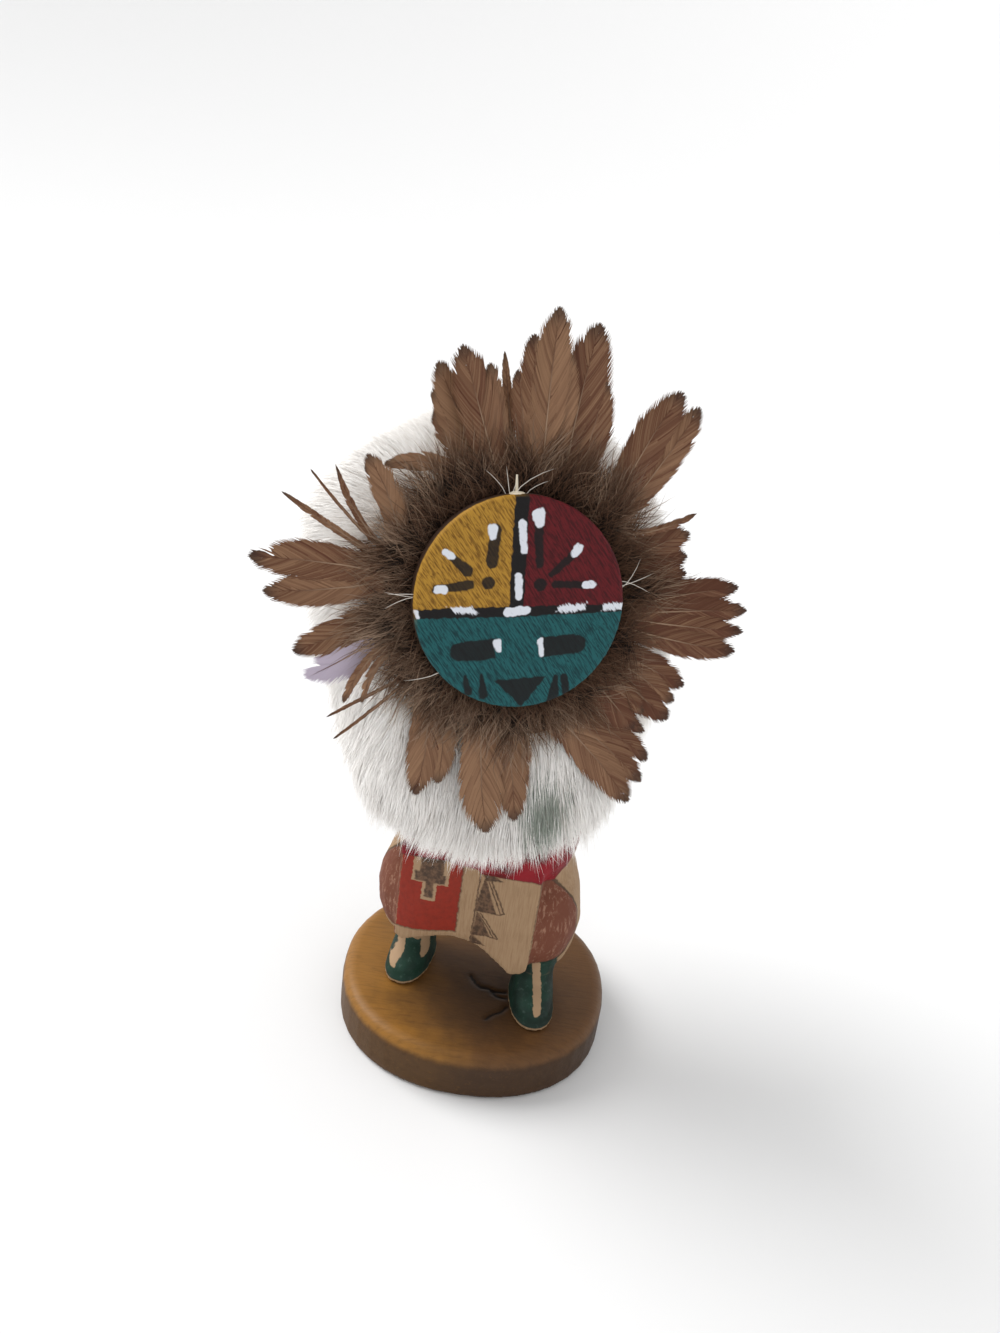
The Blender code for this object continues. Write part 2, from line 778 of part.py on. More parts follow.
def main():
    clear_scene()
    doll = bpy.data.collections.new("sun_face_doll")
    bpy.context.scene.collection.children.link(doll)

    stand_top = bpy.data.objects.new("stand_top", None)
    stand_top.location = (0, 0, BASE_THICKNESS)
    doll.objects.link(stand_top)
    face_front = bpy.data.objects.new("face_front", None)
    face_front.parent = stand_top
    face_front.matrix_basis = face_placing()
    doll.objects.link(face_front)

    finish(make_base(doll), "stained_wood", None)
    finish(make_figure(doll), "painted_wood", stand_top)
    finish(make_fur(doll), "white_fur", stand_top)
    finish(make_face(doll), "painted_face", face_front)
    finish(make_down(doll), "brown_down", face_front)
    for number, row in enumerate(FEATHERS, 1):
        feather = make_feather(f"feather_{number:02d}", row, doll)
        finish(feather, "brown_feather", face_front)


main()
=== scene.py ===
"""A sun-face doll: carved, painted cottonwood, feathers, down and a white rabbit pelt.

The sections follow the doll as it is put together: slab, figure, face, down, feathers, pelt.
"""
import math

import bmesh
import bpy
import numpy as np
from mathutils import Matrix, Vector, noise
from mathutils.bvhtree import BVHTree
from mathutils.kdtree import KDTree


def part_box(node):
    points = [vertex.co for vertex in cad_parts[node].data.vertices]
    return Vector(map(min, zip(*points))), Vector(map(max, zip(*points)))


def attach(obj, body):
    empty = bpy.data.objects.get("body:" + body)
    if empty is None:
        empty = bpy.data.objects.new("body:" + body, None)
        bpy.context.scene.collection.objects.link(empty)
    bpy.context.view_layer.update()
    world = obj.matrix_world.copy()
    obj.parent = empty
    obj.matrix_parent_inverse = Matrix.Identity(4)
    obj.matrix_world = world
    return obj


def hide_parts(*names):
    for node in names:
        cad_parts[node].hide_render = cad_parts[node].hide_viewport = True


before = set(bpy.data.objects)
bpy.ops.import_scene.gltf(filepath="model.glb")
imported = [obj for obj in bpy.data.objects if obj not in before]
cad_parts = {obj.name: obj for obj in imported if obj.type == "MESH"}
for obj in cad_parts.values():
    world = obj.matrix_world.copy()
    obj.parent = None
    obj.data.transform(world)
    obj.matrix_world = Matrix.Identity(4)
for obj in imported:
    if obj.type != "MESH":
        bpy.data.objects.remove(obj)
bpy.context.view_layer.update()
bpy.ops.object.select_all(action="DESELECT")

# The camera of the photograph, a phone held above the doll, looking down and rolled to the left.
CAMERA_PLACE = Vector((-0.00595, -0.2406, 0.2269))
CAMERA_PITCH = math.radians(25.4)
CAMERA_ROLL = math.radians(8.5)
CAMERA_LENS = 28
SENSOR_WIDTH = 36
NEAREST_SEEN = 0.01

level_up = Vector((0, math.sin(CAMERA_PITCH), math.cos(CAMERA_PITCH)))
level_right = Vector((1, 0, 0))
view_right = level_right * math.cos(CAMERA_ROLL) + level_up * math.sin(CAMERA_ROLL)
view_up = level_up * math.cos(CAMERA_ROLL) - level_right * math.sin(CAMERA_ROLL)
view_back = view_right.cross(view_up)
bpy.ops.object.camera_add()
camera = bpy.context.object
camera.data.lens = CAMERA_LENS
camera.data.sensor_width = SENSOR_WIDTH
camera.data.clip_start = NEAREST_SEEN
camera.matrix_world = Matrix.Translation(CAMERA_PLACE) @ Matrix(
    (view_right, view_up, view_back)).transposed().to_4x4()
bpy.context.scene.camera = camera

# The studio: a pale floor that sweeps up all round, a wide soft light from the upper left and a
# little behind, and a pale room round it.
FLOOR_RADIUS = 6.0
FLOOR_PARTS = 96
FLOOR_WHITE = (0.79, 0.79, 0.79, 1)
FLOOR_ROUGHNESS = 0.9
FLOOR_DROP = 0.0001
SWEEP_START = 1.2
SWEEP_RISE = 2.2
KEY_FROM = Vector((-0.58, 0.20, 0.58))
KEY_SPREAD = math.radians(38)
KEY_STRENGTH = 2.6
ROOM_STRENGTH = 0.75

bpy.ops.mesh.primitive_grid_add(
    x_subdivisions=FLOOR_PARTS, y_subdivisions=FLOOR_PARTS, size=2 * FLOOR_RADIUS,
    location=(0, 0, -FLOOR_DROP))
floor = bpy.context.object
floor.name = "studio_floor"
for point in floor.data.vertices:
    past = max(point.co.xy.length - SWEEP_START, 0.0) / (FLOOR_RADIUS - SWEEP_START)
    point.co.z = SWEEP_RISE * past ** 2
floor.data.shade_smooth()
floor_paint = bpy.data.materials.new("studio_floor")
floor_paint.use_nodes = True
floor_shader = floor_paint.node_tree.nodes["Principled BSDF"]
floor_shader.inputs["Base Color"].default_value = FLOOR_WHITE
floor_shader.inputs["Roughness"].default_value = FLOOR_ROUGHNESS
floor.data.materials.append(floor_paint)

bpy.ops.object.light_add(type="SUN", location=KEY_FROM)
key_light = bpy.context.object
key_light.data.angle = KEY_SPREAD
key_light.data.energy = KEY_STRENGTH
key_light.rotation_euler = (-KEY_FROM).to_track_quat("-Z", "Y").to_euler()
room = bpy.data.worlds.new("room")
room.use_nodes = True
room_glow = room.node_tree.nodes["Background"]
room_glow.inputs["Color"].default_value = (1.0, 1.0, 1.0, 1)
room_glow.inputs["Strength"].default_value = ROOM_STRENGTH
bpy.context.scene.world = room
bpy.context.scene.view_settings.view_transform = "Standard"

# The slab: a slice of stained wood under the feet. It is sanded, stained unevenly in golden
# and dark brown, and it has checked beside the doll's left foot, where the cracks stay open.
MM = 0.001
SLAB_VOXEL = 0.7 * MM
SLAB_WAVE = 0.16 * MM
SLAB_WAVE_LENGTH = 11 * MM
# The waves and cracks fade out over this height above the table
SLAB_FOOT = 4 * MM
# How far up a normal points where the top begins
TOP_FACING = 0.4
CRACK_DEPTH = 0.5 * MM
CRACK_WIDTH = 0.45 * MM
# The dark line that is drawn along each crack, and the cracks in the slab's top, in millimetres
CRACK_LINE = 0.55
CRACKS = (
    ((-1.0, -4.6), (0.6, -7.4), (2.2, -8.7), (4.6, -8.6), (6.4, -9.6), (9.6, -9.4)),
    ((4.6, -20.6), (6.6, -18.4), (8.6, -17.2), (10.4, -14.8)),
    ((5.4, -9.3), (6.8, -11.2), (9.8, -11.8)),
)
# The grain runs across the slab, from its back left to its front right
GRAIN_TURN = math.radians(62)
GRAIN_SCALE = (0.16, 1.5, 0.5)
# The darker wash in front of the feet: its middle, how much it is drawn out sideways, its reach
# from dark to clear, and how dark it is
WASH_MIDDLE = (1.0, -16.0)
WASH_STRETCH = 0.55
WASH_REACH = (12.0, 34.0)
WASH_DARKNESS = 0.76
# The painted shade on the side wall: fully dark below the first height, clear above the second
SHADED_WALL_HEIGHTS = (11.2, 13.6)
WALL_SHADE = 0.78


def srgb(*levels):
    """A paint's colour, given as levels from 0 to 255."""
    shares = [level / 255 for level in levels]
    return tuple(((share + 0.055) / 1.055) ** 2.4 if share > 0.04 else share / 12.92 for share in shares)


GOLDEN_STAIN = srgb(141, 97, 39)
PLAIN_STAIN = srgb(98, 66, 35)
DARK_STAIN_AND_SHADE = srgb(44, 28, 14)
CRACK_SHADE = srgb(20, 13, 9)


def combine(operation, *terms):
    """A Math node on sockets and numbers."""
    tree = next(term.socket.id_data for term in terms if isinstance(term, Value))
    maths = tree.nodes.new("ShaderNodeMath")
    maths.operation = operation
    for place, term in zip(maths.inputs, terms):
        if isinstance(term, Value):
            tree.links.new(term.socket, place)
        else:
            place.default_value = term
    return Value(maths.outputs[0])


class Value:
    """A socket that does arithmetic: each operator adds a Math node."""

    def __init__(self, socket):
        self.socket = socket

    def __abs__(self):
        return combine("ABSOLUTE", self)


for sign, kind in (("add", "ADD"), ("sub", "SUBTRACT"), ("mul", "MULTIPLY"), ("truediv", "DIVIDE")):
    setattr(Value, f"__{sign}__", lambda left, right, kind=kind: combine(kind, left, right))
    setattr(Value, f"__r{sign}__", lambda right, left, kind=kind: combine(kind, left, right))


def least(first, *others):
    """The smallest of several values."""
    for other in others:
        first = combine("MINIMUM", first, other)
    return first


def most(first, *others):
    """The largest of several values."""
    for other in others:
        first = combine("MAXIMUM", first, other)
    return first


def nearest(shape, spot, forms, *sizes):
    """How far a flat spot lies outside the nearest of several forms of one shape."""
    return least(*(shape(spot, *form, *sizes) for form in forms))


class Finish:
    """A paint, stain or dye: a material with one Principled shader, built up node by node."""

    def __init__(self, name, **sockets):
        self.material = bpy.data.materials.new(name)
        self.material.use_nodes = True
        self.tree = self.material.node_tree
        self.shader = self.tree.nodes["Principled BSDF"]
        self.colour = None
        self.fill(self.shader, sockets)

    def fill(self, node, sockets):
        """Links or sets a node's sockets, by name or by number."""
        for key, value in sockets.items():
            place = node.inputs[key.replace("_", " ") if isinstance(key, str) else key]
            if isinstance(value, Value):
                self.tree.links.new(value.socket, place)
            elif place.type == "RGBA" and len(value) == 3:
                place.default_value = (*value, 1.0)
            else:
                place.default_value = value

    def node(self, kind, settings, sockets, output=0):
        """One node, with its settings made first, then its sockets' values or links."""
        made = self.tree.nodes.new(kind)
        for key, value in settings.items():
            setattr(made, key, value)
        self.fill(made, sockets)
        return Value(made.outputs[output])

    def coat(self, **sockets):
        """Gives the shader the colours laid so far, and links or sets its other sockets."""
        self.fill(self.shader, {"Base_Color": self.colour, **sockets})

    def place(self):
        """Where the surface is on the object, in millimetres."""
        return self.vector("SCALE", self.node("ShaderNodeTexCoord", {}, {}, "Object"), Scale=1 / MM)

    def split(self, vector):
        """A vector's three numbers."""
        apart = self.tree.nodes.new("ShaderNodeSeparateXYZ")
        self.tree.links.new(vector.socket, apart.inputs[0])
        return [Value(socket) for socket in apart.outputs]

    def flat(self, across, up):
        """A spot on a flat drawing."""
        return self.node("ShaderNodeCombineXYZ", {}, {0: across, 1: up})

    def vector(self, operation, *terms, output="Vector", **sockets):
        """A Vector Math node on vectors."""
        sockets.update(enumerate(terms))
        return self.node("ShaderNodeVectorMath", {"operation": operation}, sockets, output)

    def stretched(self, vector, factors):
        return self.vector("MULTIPLY", vector, factors)

    def shifted(self, vector, step):
        return self.vector("ADD", vector, step)

    def unsteady(self, vector, spot, scale, detail, reach):
        """A vector that strays to and fro, as the line of a loose hand does."""
        jitter = self.node("ShaderNodeTexNoise", {}, {"Vector": spot, "Scale": scale, "Detail": detail}, 1)
        return self.shifted(vector, self.stretched(self.shifted(jitter, (-0.5, -0.5, -0.5)), reach))

    def reach(self, vector, direction):
        """How far a vector goes in a direction."""
        return self.vector("DOT_PRODUCT", vector, direction, output="Value")

    def size(self, vector):
        return self.vector("LENGTH", vector, output="Value")

    def stroke(self, spot, start, end, width, end_width=None):
        """How far a flat spot lies outside a round-ended stroke of the brush."""
        run = Vector((*end, 0)) - Vector((*start, 0))
        beyond = self.shifted(spot, (-start[0], -start[1], 0))
        share = self.reach(beyond, run / run.length_squared)
        share = least(most(share, 0.0), 1.0)
        back = self.vector("SCALE", -run, Scale=share)
        grow = ((end_width or width) - width) / 2
        return self.size(self.shifted(beyond, back)) - width / 2 - share * grow

    def polygon(self, spot, *corners):
        """How far a flat spot lies outside a convex shape, its corners listed anticlockwise."""
        sides = []
        for start, end in zip(corners, corners[1:] + corners[:1]):
            run = Vector(end) - Vector(start)
            outward = Vector((run.y, -run.x, 0)).normalized()
            sides.append(self.reach(spot, outward) - outward.dot(Vector((*start, 0))))
        return most(*sides)

    def box(self, spot, middle, half):
        """How far a flat spot lies outside an upright box."""
        (left, low), (right, high) = (
            [m - h for m, h in zip(middle, half)], [m + h for m, h in zip(middle, half)])
        return self.polygon(spot, (left, low), (right, low), (right, high), (left, high))

    def speckle(self, vector, scale, detail=2.0, roughness=0.5, distortion=0.0):
        """Noise from 0 to 1, with so many features to the millimetre."""
        return self.node("ShaderNodeTexNoise", {}, {
            "Vector": vector, "Scale": scale, "Detail": detail, "Roughness": roughness,
            "Distortion": distortion})

    def ease(self, value, low, high, start=0.0, end=1.0):
        """A smooth step from start to end as the value goes from low to high."""
        return self.node("ShaderNodeMapRange", {"interpolation_type": "SMOOTHSTEP"}, {
            "Value": value, "From Min": low, "From Max": high, "To Min": start, "To Max": end})

    def blend(self, factor, first, second):
        """A colour between two."""
        return self.node("ShaderNodeMix", {"data_type": "RGBA"}, {0: factor, 6: first, 7: second}, 2)

    def lay(self, share, colour):
        """Lays a colour over the ones before it, as thickly as a share from 0 to 1 says."""
        self.colour = self.blend(share, self.colour, colour)

    def relief(self, height, distance, strength=1.0):
        """A bump of that height in metres, as the shader's normal."""
        bump = self.node("ShaderNodeBump", {}, {
            "Height": height, "Distance": distance, "Strength": strength})
        self.fill(self.shader, {"Normal": bump})


def modify(piece, kind, **settings):
    """Adds a modifier to a piece and applies it."""
    bpy.ops.object.select_all(action="DESELECT")
    piece.select_set(True)
    bpy.context.view_layer.objects.active = piece
    modifier = piece.modifiers.new(kind.lower(), kind)
    for key, value in settings.items():
        setattr(modifier, key, value)
    bpy.ops.object.modifier_apply(modifier=modifier.name)


def remeshed(node, name, voxel, smoothing=0):
    """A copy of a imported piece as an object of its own, remeshed evenly, then smoothed."""
    made = bpy.data.objects.new(name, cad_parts[node].data.copy())
    bpy.context.scene.collection.objects.link(made)
    made.data.materials.clear()
    builder = bmesh.new()
    builder.from_mesh(made.data)
    bmesh.ops.remove_doubles(builder, verts=builder.verts, dist=1e-6)
    builder.to_mesh(made.data)
    builder.free()
    modify(made, "REMESH", mode="VOXEL", voxel_size=voxel, use_smooth_shade=True)
    if smoothing:
        modify(made, "SMOOTH", factor=0.5, iterations=smoothing)
    return made


def points_of(piece, part="vertices", field="co"):
    """A piece's points, or another field of its mesh, as an array of rows of three."""
    flat = np.empty(3 * len(getattr(piece.data, part)), np.float32)
    getattr(piece.data, part).foreach_get(field, flat)
    return flat.reshape(-1, 3).astype(float)


def surface_of(piece):
    """A piece's points and the normals at them."""
    return points_of(piece), points_of(piece, "vertex_normals", "vector")


def move_points(piece, points):
    piece.data.vertices.foreach_set("co", points.astype(np.float32).ravel())
    piece.data.update()


def waves(points, length, seed=0.0):
    """Smooth noise from -1 to 1 at each point, with features of that length."""
    return np.array([noise.noise(Vector(point) / length + Vector((seed, 0, 0))) for point in points])


def distance_to_path(points, path):
    """How far each point is from a path of straight stretches, both in two dimensions."""
    gap = np.full(len(points), np.inf)
    for start, end in zip(path, path[1:]):
        start, end = np.array(start), np.array(end)
        run = end - start
        share = np.clip(((points - start) @ run) / (run @ run), 0, 1)
        gap = np.minimum(gap, np.linalg.norm(points - start - share[:, None] * run, axis=1))
    return gap


def ride_as(piece, finish, slot, *nodes):
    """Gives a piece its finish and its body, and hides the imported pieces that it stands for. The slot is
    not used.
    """
    piece.data.materials.clear()
    piece.data.materials.append(finish.material)
    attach(piece, "root")
    if nodes:
        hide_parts(*nodes)


slab_low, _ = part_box("base")
slab = remeshed("base", "slab", SLAB_VOXEL, smoothing=4)
points, normals = surface_of(slab)
sunk = SLAB_WAVE * waves(points, SLAB_WAVE_LENGTH)
on_top = np.clip((normals[:, 2] - TOP_FACING) / TOP_FACING, 0, 1)
for crack in CRACKS:
    apart = distance_to_path(points[:, :2] / MM, crack) * MM
    sunk -= CRACK_DEPTH * np.exp(-(apart / CRACK_WIDTH) ** 2) * on_top
sunk *= np.clip((points[:, 2] - slab_low.z) / SLAB_FOOT, 0, 1)
move_points(slab, points + normals * sunk[:, None])

stain = Finish("stained_slab", Specular_IOR_Level=0.2)
spot = stain.place()
x, y, z = stain.split(spot)
grain_spot = stain.node("ShaderNodeMapping", {}, {
    "Vector": spot, "Rotation": (0, 0, GRAIN_TURN), "Scale": GRAIN_SCALE})
grain = stain.speckle(grain_spot, 1.0, 5.0, 0.62, 0.6)
fine_grain = stain.speckle(stain.stretched(grain_spot, (1.0, 6.0, 3.0)), 1.0, 3.0, 0.6)
cloud = stain.speckle(spot, 0.055, 3.0, 0.55, 0.4)
blot = stain.speckle(spot, 0.17, 4.0, 0.6)
golden = stain.ease(x + y * 0.35 + cloud * 34.0, 16.0, -18.0)
stain.colour = stain.blend(golden, PLAIN_STAIN, GOLDEN_STAIN)
wash_x, wash_y = x - WASH_MIDDLE[0], y - WASH_MIDDLE[1]
wash = combine("SQRT", wash_x * wash_x * WASH_STRETCH + wash_y * wash_y)
wash = stain.ease(wash + blot * 16.0, *WASH_REACH, 1.0, 0.0) * WASH_DARKNESS
# The slab is darkened by the wash of stain in front of the feet and by painted shade on its side wall
stain_and_shade = most(wash, stain.ease(z + blot * 2.0, *SHADED_WALL_HEIGHTS, 1.0, 0.0) * WALL_SHADE)
stain.lay(stain_and_shade, DARK_STAIN_AND_SHADE)
stain.lay(stain.ease(grain, 0.42, 0.72) * 0.26, DARK_STAIN_AND_SHADE)
stain.lay(stain.ease(fine_grain, 0.55, 0.80) * 0.22, GOLDEN_STAIN)
ground = stain.flat(x + (blot - 0.5) * 1.6, y + (cloud - 0.5) * 1.2)
stretches = [ends for crack in CRACKS for ends in zip(crack, crack[1:])]
cracks = nearest(stain.stroke, ground, stretches, CRACK_LINE)
# The open cracks are coloured near black as painted shade in the gaps
open_crack_shade = stain.ease(cracks + (fine_grain - 0.5) * 0.9, 0.30, -0.10) * stain.ease(z, 13.0, 13.4)
stain.lay(stain.ease(cracks, 2.6, 0.0) * 0.45, DARK_STAIN_AND_SHADE)
stain.lay(open_crack_shade * 0.92, CRACK_SHADE)
stain.coat(Roughness=0.36 + grain * 0.22 + stain_and_shade * 0.10, Coat_Weight=0.06, Coat_Roughness=0.35)
stain.relief(grain * 0.6 + fine_grain * 0.4, 0.00014, 0.5)
ride_as(slab, stain, "stained_wood", "base")

# The figure: one carved piece of cottonwood, from its moccasins to the block behind the face.
# Thighs, sash, belt, sleeves and moccasins are painted with thin paint; the kilt is bare wood,
# with a stepped cloud, a row of teeth and the edges of the panel drawn with a hot point.
FIGURE_VOXEL = 0.7 * MM
TRUNK_PLACE = (-2.0, 1.0)
TRUNK_TURN = math.radians(-10)
THIGH_INSIDE = 12.0
# Each pair, in millimetres, is where a paint or a line begins and where it covers fully
TORSO_STARTS = (72.0, 75.0)
SLEEVE_STARTS = (11.0, 13.0)
PANEL_LEFT = (-24.45, -24.15)
PANEL_RIGHT = (13.95, 13.65)
FRONT_STARTS = (-6.5, -8.5)
BURNING_STARTS = (61.5, 60.5)
BELT_STARTS = (76.0, 74.0)
LEG_STARTS = (37.0, 35.0)
TIE_STARTS = (3.0, 1.0)
# The belt's lower edge: how high at the middle, how steep, and the most on the panel
BELT_EDGE = (58.8, 0.126, 60.2)
# Beyond the panel: where it starts to rise along the thigh, how high there, and how steep
BELT_SIDE = (17.0, 58.1, 1.5)
BOOT_TOP = 26.3
SOLE_TOP = 15.25
LEG_HALF_WIDTH = 6.3
LEG_HALF_LENGTH = 8.0
# The middle of each leg, seen from above, and its turn: the figure's right, then its left
LEGS = ((-18.4, 4.0, math.radians(-12)), (16.3, -6.3, math.radians(6)))
BARE_WOOD = srgb(158, 130, 100)
WOOD_FIBRE = srgb(126, 97, 70)
BURNT = srgb(52, 36, 28)
SCORCHED = srgb(98, 72, 54)
THIGH_PAINT = srgb(106, 60, 43)
THIGH_LIGHT = srgb(158, 118, 96)
SASH_RED = srgb(136, 38, 21)
SASH_DARK = srgb(102, 30, 17)
BELT_RED = srgb(134, 14, 28)
BELT_DARK = srgb(86, 12, 19)
BOOT_GREEN = srgb(20, 52, 40)
BOOT_DARK = srgb(11, 30, 23)
SLEEVE_GREEN = srgb(96, 118, 108)
# Seen from the front, across and up, in millimetres
SASH = ((-24.4, 62.0), (-24.2, 34.3), (-7.4, 35.8), (-7.6, 62.0))
CLOUD_EDGE = (((-16.1, 57.0), (5.05, 5.6)), ((-16.1, 49.1), (1.95, 3.4)))
CLOUD_INSIDE = (
    ((-15.9, 58.6), (3.2, 4.2)),
    ((-16.2, 53.3), (4.2, 1.5)),
    ((-16.1, 49.6), (1.15, 2.9)),
)
TEETH = (
    ((-2.9, 60.8), (-1.3, 56.4), (3.4, 57.9)),
    ((-1.5, 58.0), (-3.2, 44.9), (3.0, 46.2)),
    ((-2.3, 45.2), (-2.9, 35.8), (2.4, 37.8)),
    ((-2.7, 36.2), (-2.8, 32.6), (1.3, 33.8)),
)
TEETH_LINES = (
    ((-0.7, 57.3), (4.0, 47.2)), ((0.2, 57.3), (5.0, 47.6)), ((3.0, 46.3), (5.0, 47.5)),
    ((-2.0, 44.6), (3.2, 38.2)), ((-1.3, 44.8), (4.2, 38.4)), ((2.4, 37.7), (4.2, 38.3)),
    ((-2.8, 59.5), (-2.9, 32.8)),
)
BURNT_LINES = (
    ((-24.2, 34.2), (-7.4, 35.7)), ((-7.4, 35.8), (-7.6, 62.0)), ((13.6, 61.0), (13.8, 35.5)),
)
TIES = (
    ((-22.7, 32.4), (-22.4, 22.0)), ((-22.4, 22.0), (-24.1, 18.9)),
    ((-16.9, 30.5), (-15.3, 20.9)), ((16.1, 30.8), (18.3, 19.4)),
)
TIE_WIDTH = 2.3
TEETH_LINE = 0.35
BURNT_LINE = 0.22
# The painted patch on each thigh, seen from the side, backwards and up
THIGH_PATCH = (
    (-30.0, 30.6), (-6.3, 30.6), (-3.0, 37.9), (-4.6, 46.0), (-8.2, 55.0), (-12.0, 63.0), (-30.0, 63.0))

figure = remeshed("figure", "carved_figure", FIGURE_VOXEL, smoothing=3)
points, normals = surface_of(figure)
tooling = 0.10 * waves(points, 4.5 * MM, 1.0) + 0.05 * waves(points, 1.6 * MM, 6.0)
move_points(figure, points + normals * tooling[:, None] * MM)

paint = Finish("carved_figure", Specular_IOR_Level=0.25)
spot = paint.place()
x, y, z = paint.split(spot)
across, _, height = paint.split(paint.unsteady(spot, spot, 0.9, 2.0, (0.9, 0.0, 0.9)))
drawn = paint.flat(across, height)
fibre = paint.speckle(paint.stretched(spot, (2.2, 2.2, 0.14)), 1.0, 4.0, 0.6)
mottle = paint.speckle(spot, 0.75, 4.0, 0.6)
patch = paint.speckle(spot, 0.16, 3.0, 0.5)

# The trunk's own frame, turned a little to the figure's right
trunk = paint.node("ShaderNodeMapping", {"vector_type": "TEXTURE"}, {
    "Vector": spot, "Location": (*TRUNK_PLACE, 0), "Rotation": (0, 0, TRUNK_TURN)})
trunk_x, trunk_y, _ = paint.split(trunk)
in_front = paint.ease(trunk_y, *FRONT_STARTS)

paint.colour = paint.blend(paint.ease(fibre, 0.35, 0.75) * 0.55, BARE_WOOD, WOOD_FIBRE)
paint.lay(paint.ease(patch, 0.45, 0.75) * 0.25, WOOD_FIBRE)

# The torso and the arms, under the pelt
sleeve = paint.ease(z, *TORSO_STARTS)
paint.lay(sleeve, THIGH_PAINT)
paint.lay(sleeve * paint.ease(abs(trunk_x), *SLEEVE_STARTS), SLEEVE_GREEN)

# Thighs: a patch of brown paint on each, rubbed down to the wood, in a burnt outline
panel = in_front * paint.ease(across, *PANEL_LEFT) * paint.ease(across, *PANEL_RIGHT)
sideways = paint.flat(trunk_y + (mottle - 0.5) * 0.9, height)
patch_edge = most(paint.polygon(sideways, *THIGH_PATCH), THIGH_INSIDE - abs(trunk_x))
thigh = paint.ease(patch_edge, 0.15, -0.15) * (1.0 - panel)
rub = paint.speckle(paint.stretched(spot, (1.2, 1.2, 0.35)), 1.0, 5.0, 0.68, 0.5)
rubbed = paint.ease(rub, 0.50, 0.66) * paint.ease(patch, 0.30, 0.60)
thigh_colour = paint.blend(rubbed * 0.75, THIGH_PAINT, THIGH_LIGHT)
paint.lay(thigh, thigh_colour)

# The sash, with its stepped cloud
sash = paint.ease(paint.polygon(drawn, *SASH), 0.12, -0.12) * in_front * (1.0 - thigh)
sash_colour = paint.blend(paint.ease(mottle, 0.35, 0.8) * 0.5, SASH_RED, SASH_DARK)
paint.lay(sash, sash_colour)
cloud_edge = paint.ease(nearest(paint.box, drawn, CLOUD_EDGE), 0.12, -0.12)
paint.lay(cloud_edge * sash, BARE_WOOD)
cloud = paint.ease(nearest(paint.box, drawn, CLOUD_INSIDE), 0.35, -0.25)
scorch = paint.blend(paint.ease(mottle, 0.38, 0.62), BURNT, SCORCHED)
paint.lay(cloud * sash * 0.92, scorch)

# The teeth and the burnt outlines
teeth = paint.ease(nearest(paint.polygon, drawn, TEETH), 0.25, -0.25)
lines = nearest(paint.stroke, drawn, TEETH_LINES, TEETH_LINE)
teeth = most(teeth * 0.9, paint.ease(lines, 0.22, -0.10) * 0.85)
edges = nearest(paint.stroke, drawn, BURNT_LINES, BURNT_LINE)
teeth = most(teeth, paint.ease(edges, 0.30, 0.0) * 0.55)
below_belt = paint.ease(z, *BURNING_STARTS)
burnt_in = teeth * in_front * below_belt
paint.lay(burnt_in * (1.0 - thigh), scorch)
crease = paint.ease(abs(patch_edge - 0.2), 0.55, 0.15) * (1.0 - panel) * below_belt
crease *= paint.ease(trunk_y, 0.0, -2.0) * paint.ease(abs(trunk_x), 12.6, 13.4)
paint.lay(crease * 0.8, BURNT)

# The belt
on_panel = least(x * BELT_EDGE[1] + BELT_EDGE[0], BELT_EDGE[2]) + paint.ease(x, -2.5, -4.5) * 2.9
beyond_panel = most(x - BELT_SIDE[0], 0.0) * BELT_SIDE[2] + BELT_SIDE[1]
past_panel = paint.ease(x, 13.7, 14.1)
above_edge = z - on_panel * (1.0 - past_panel) - beyond_panel * past_panel + (mottle - 0.5) * 0.7
belt = paint.ease(above_edge, -0.2, 0.15) * paint.ease(z, *BELT_STARTS)
belt_colour = paint.blend(paint.ease(patch, 0.35, 0.7), BELT_RED, BELT_DARK)
paint.lay(belt, belt_colour)
paint.lay(paint.ease(abs(above_edge), 0.45, 0.1) * 0.35, BURNT)

# The moccasins: green, with a bare line round the sole and painted ties
boot = paint.ease(z, BOOT_TOP + 0.2, BOOT_TOP - 0.2)
for leg_x, leg_y, turn in LEGS:
    leg = paint.node("ShaderNodeMapping", {"vector_type": "TEXTURE"}, {
        "Vector": spot, "Location": (leg_x, leg_y, 0), "Rotation": (0, 0, turn),
        "Scale": (LEG_HALF_WIDTH, LEG_HALF_LENGTH, 1000.0)})
    boot = most(boot, paint.ease(paint.size(leg), 1.04, 0.98) * paint.ease(z, *LEG_STARTS))
boot_colour = paint.blend(paint.ease(patch, 0.3, 0.7), BOOT_GREEN, BOOT_DARK)
boot_colour = paint.blend(paint.ease(mottle, 0.55, 0.8) * 0.3, boot_colour, SLEEVE_GREEN)
boot *= paint.ease(z, SOLE_TOP - 0.15, SOLE_TOP + 0.15)
tie = paint.ease(nearest(paint.stroke, drawn, TIES, TIE_WIDTH), 0.15, -0.15) * paint.ease(y, *TIE_STARTS)
paint.lay(boot, boot_colour)
paint.lay(boot * tie, BARE_WOOD)
painted = most(boot, most(belt, sash))
paint.coat(Roughness=0.72 - painted * 0.14 + (fibre - 0.5) * 0.2)
paint.relief(fibre * 0.5 + mottle * 0.25 - burnt_in * 0.8 - crease * 0.8, 0.00022, 0.6)
ride_as(figure, paint, "painted_wood", "figure")

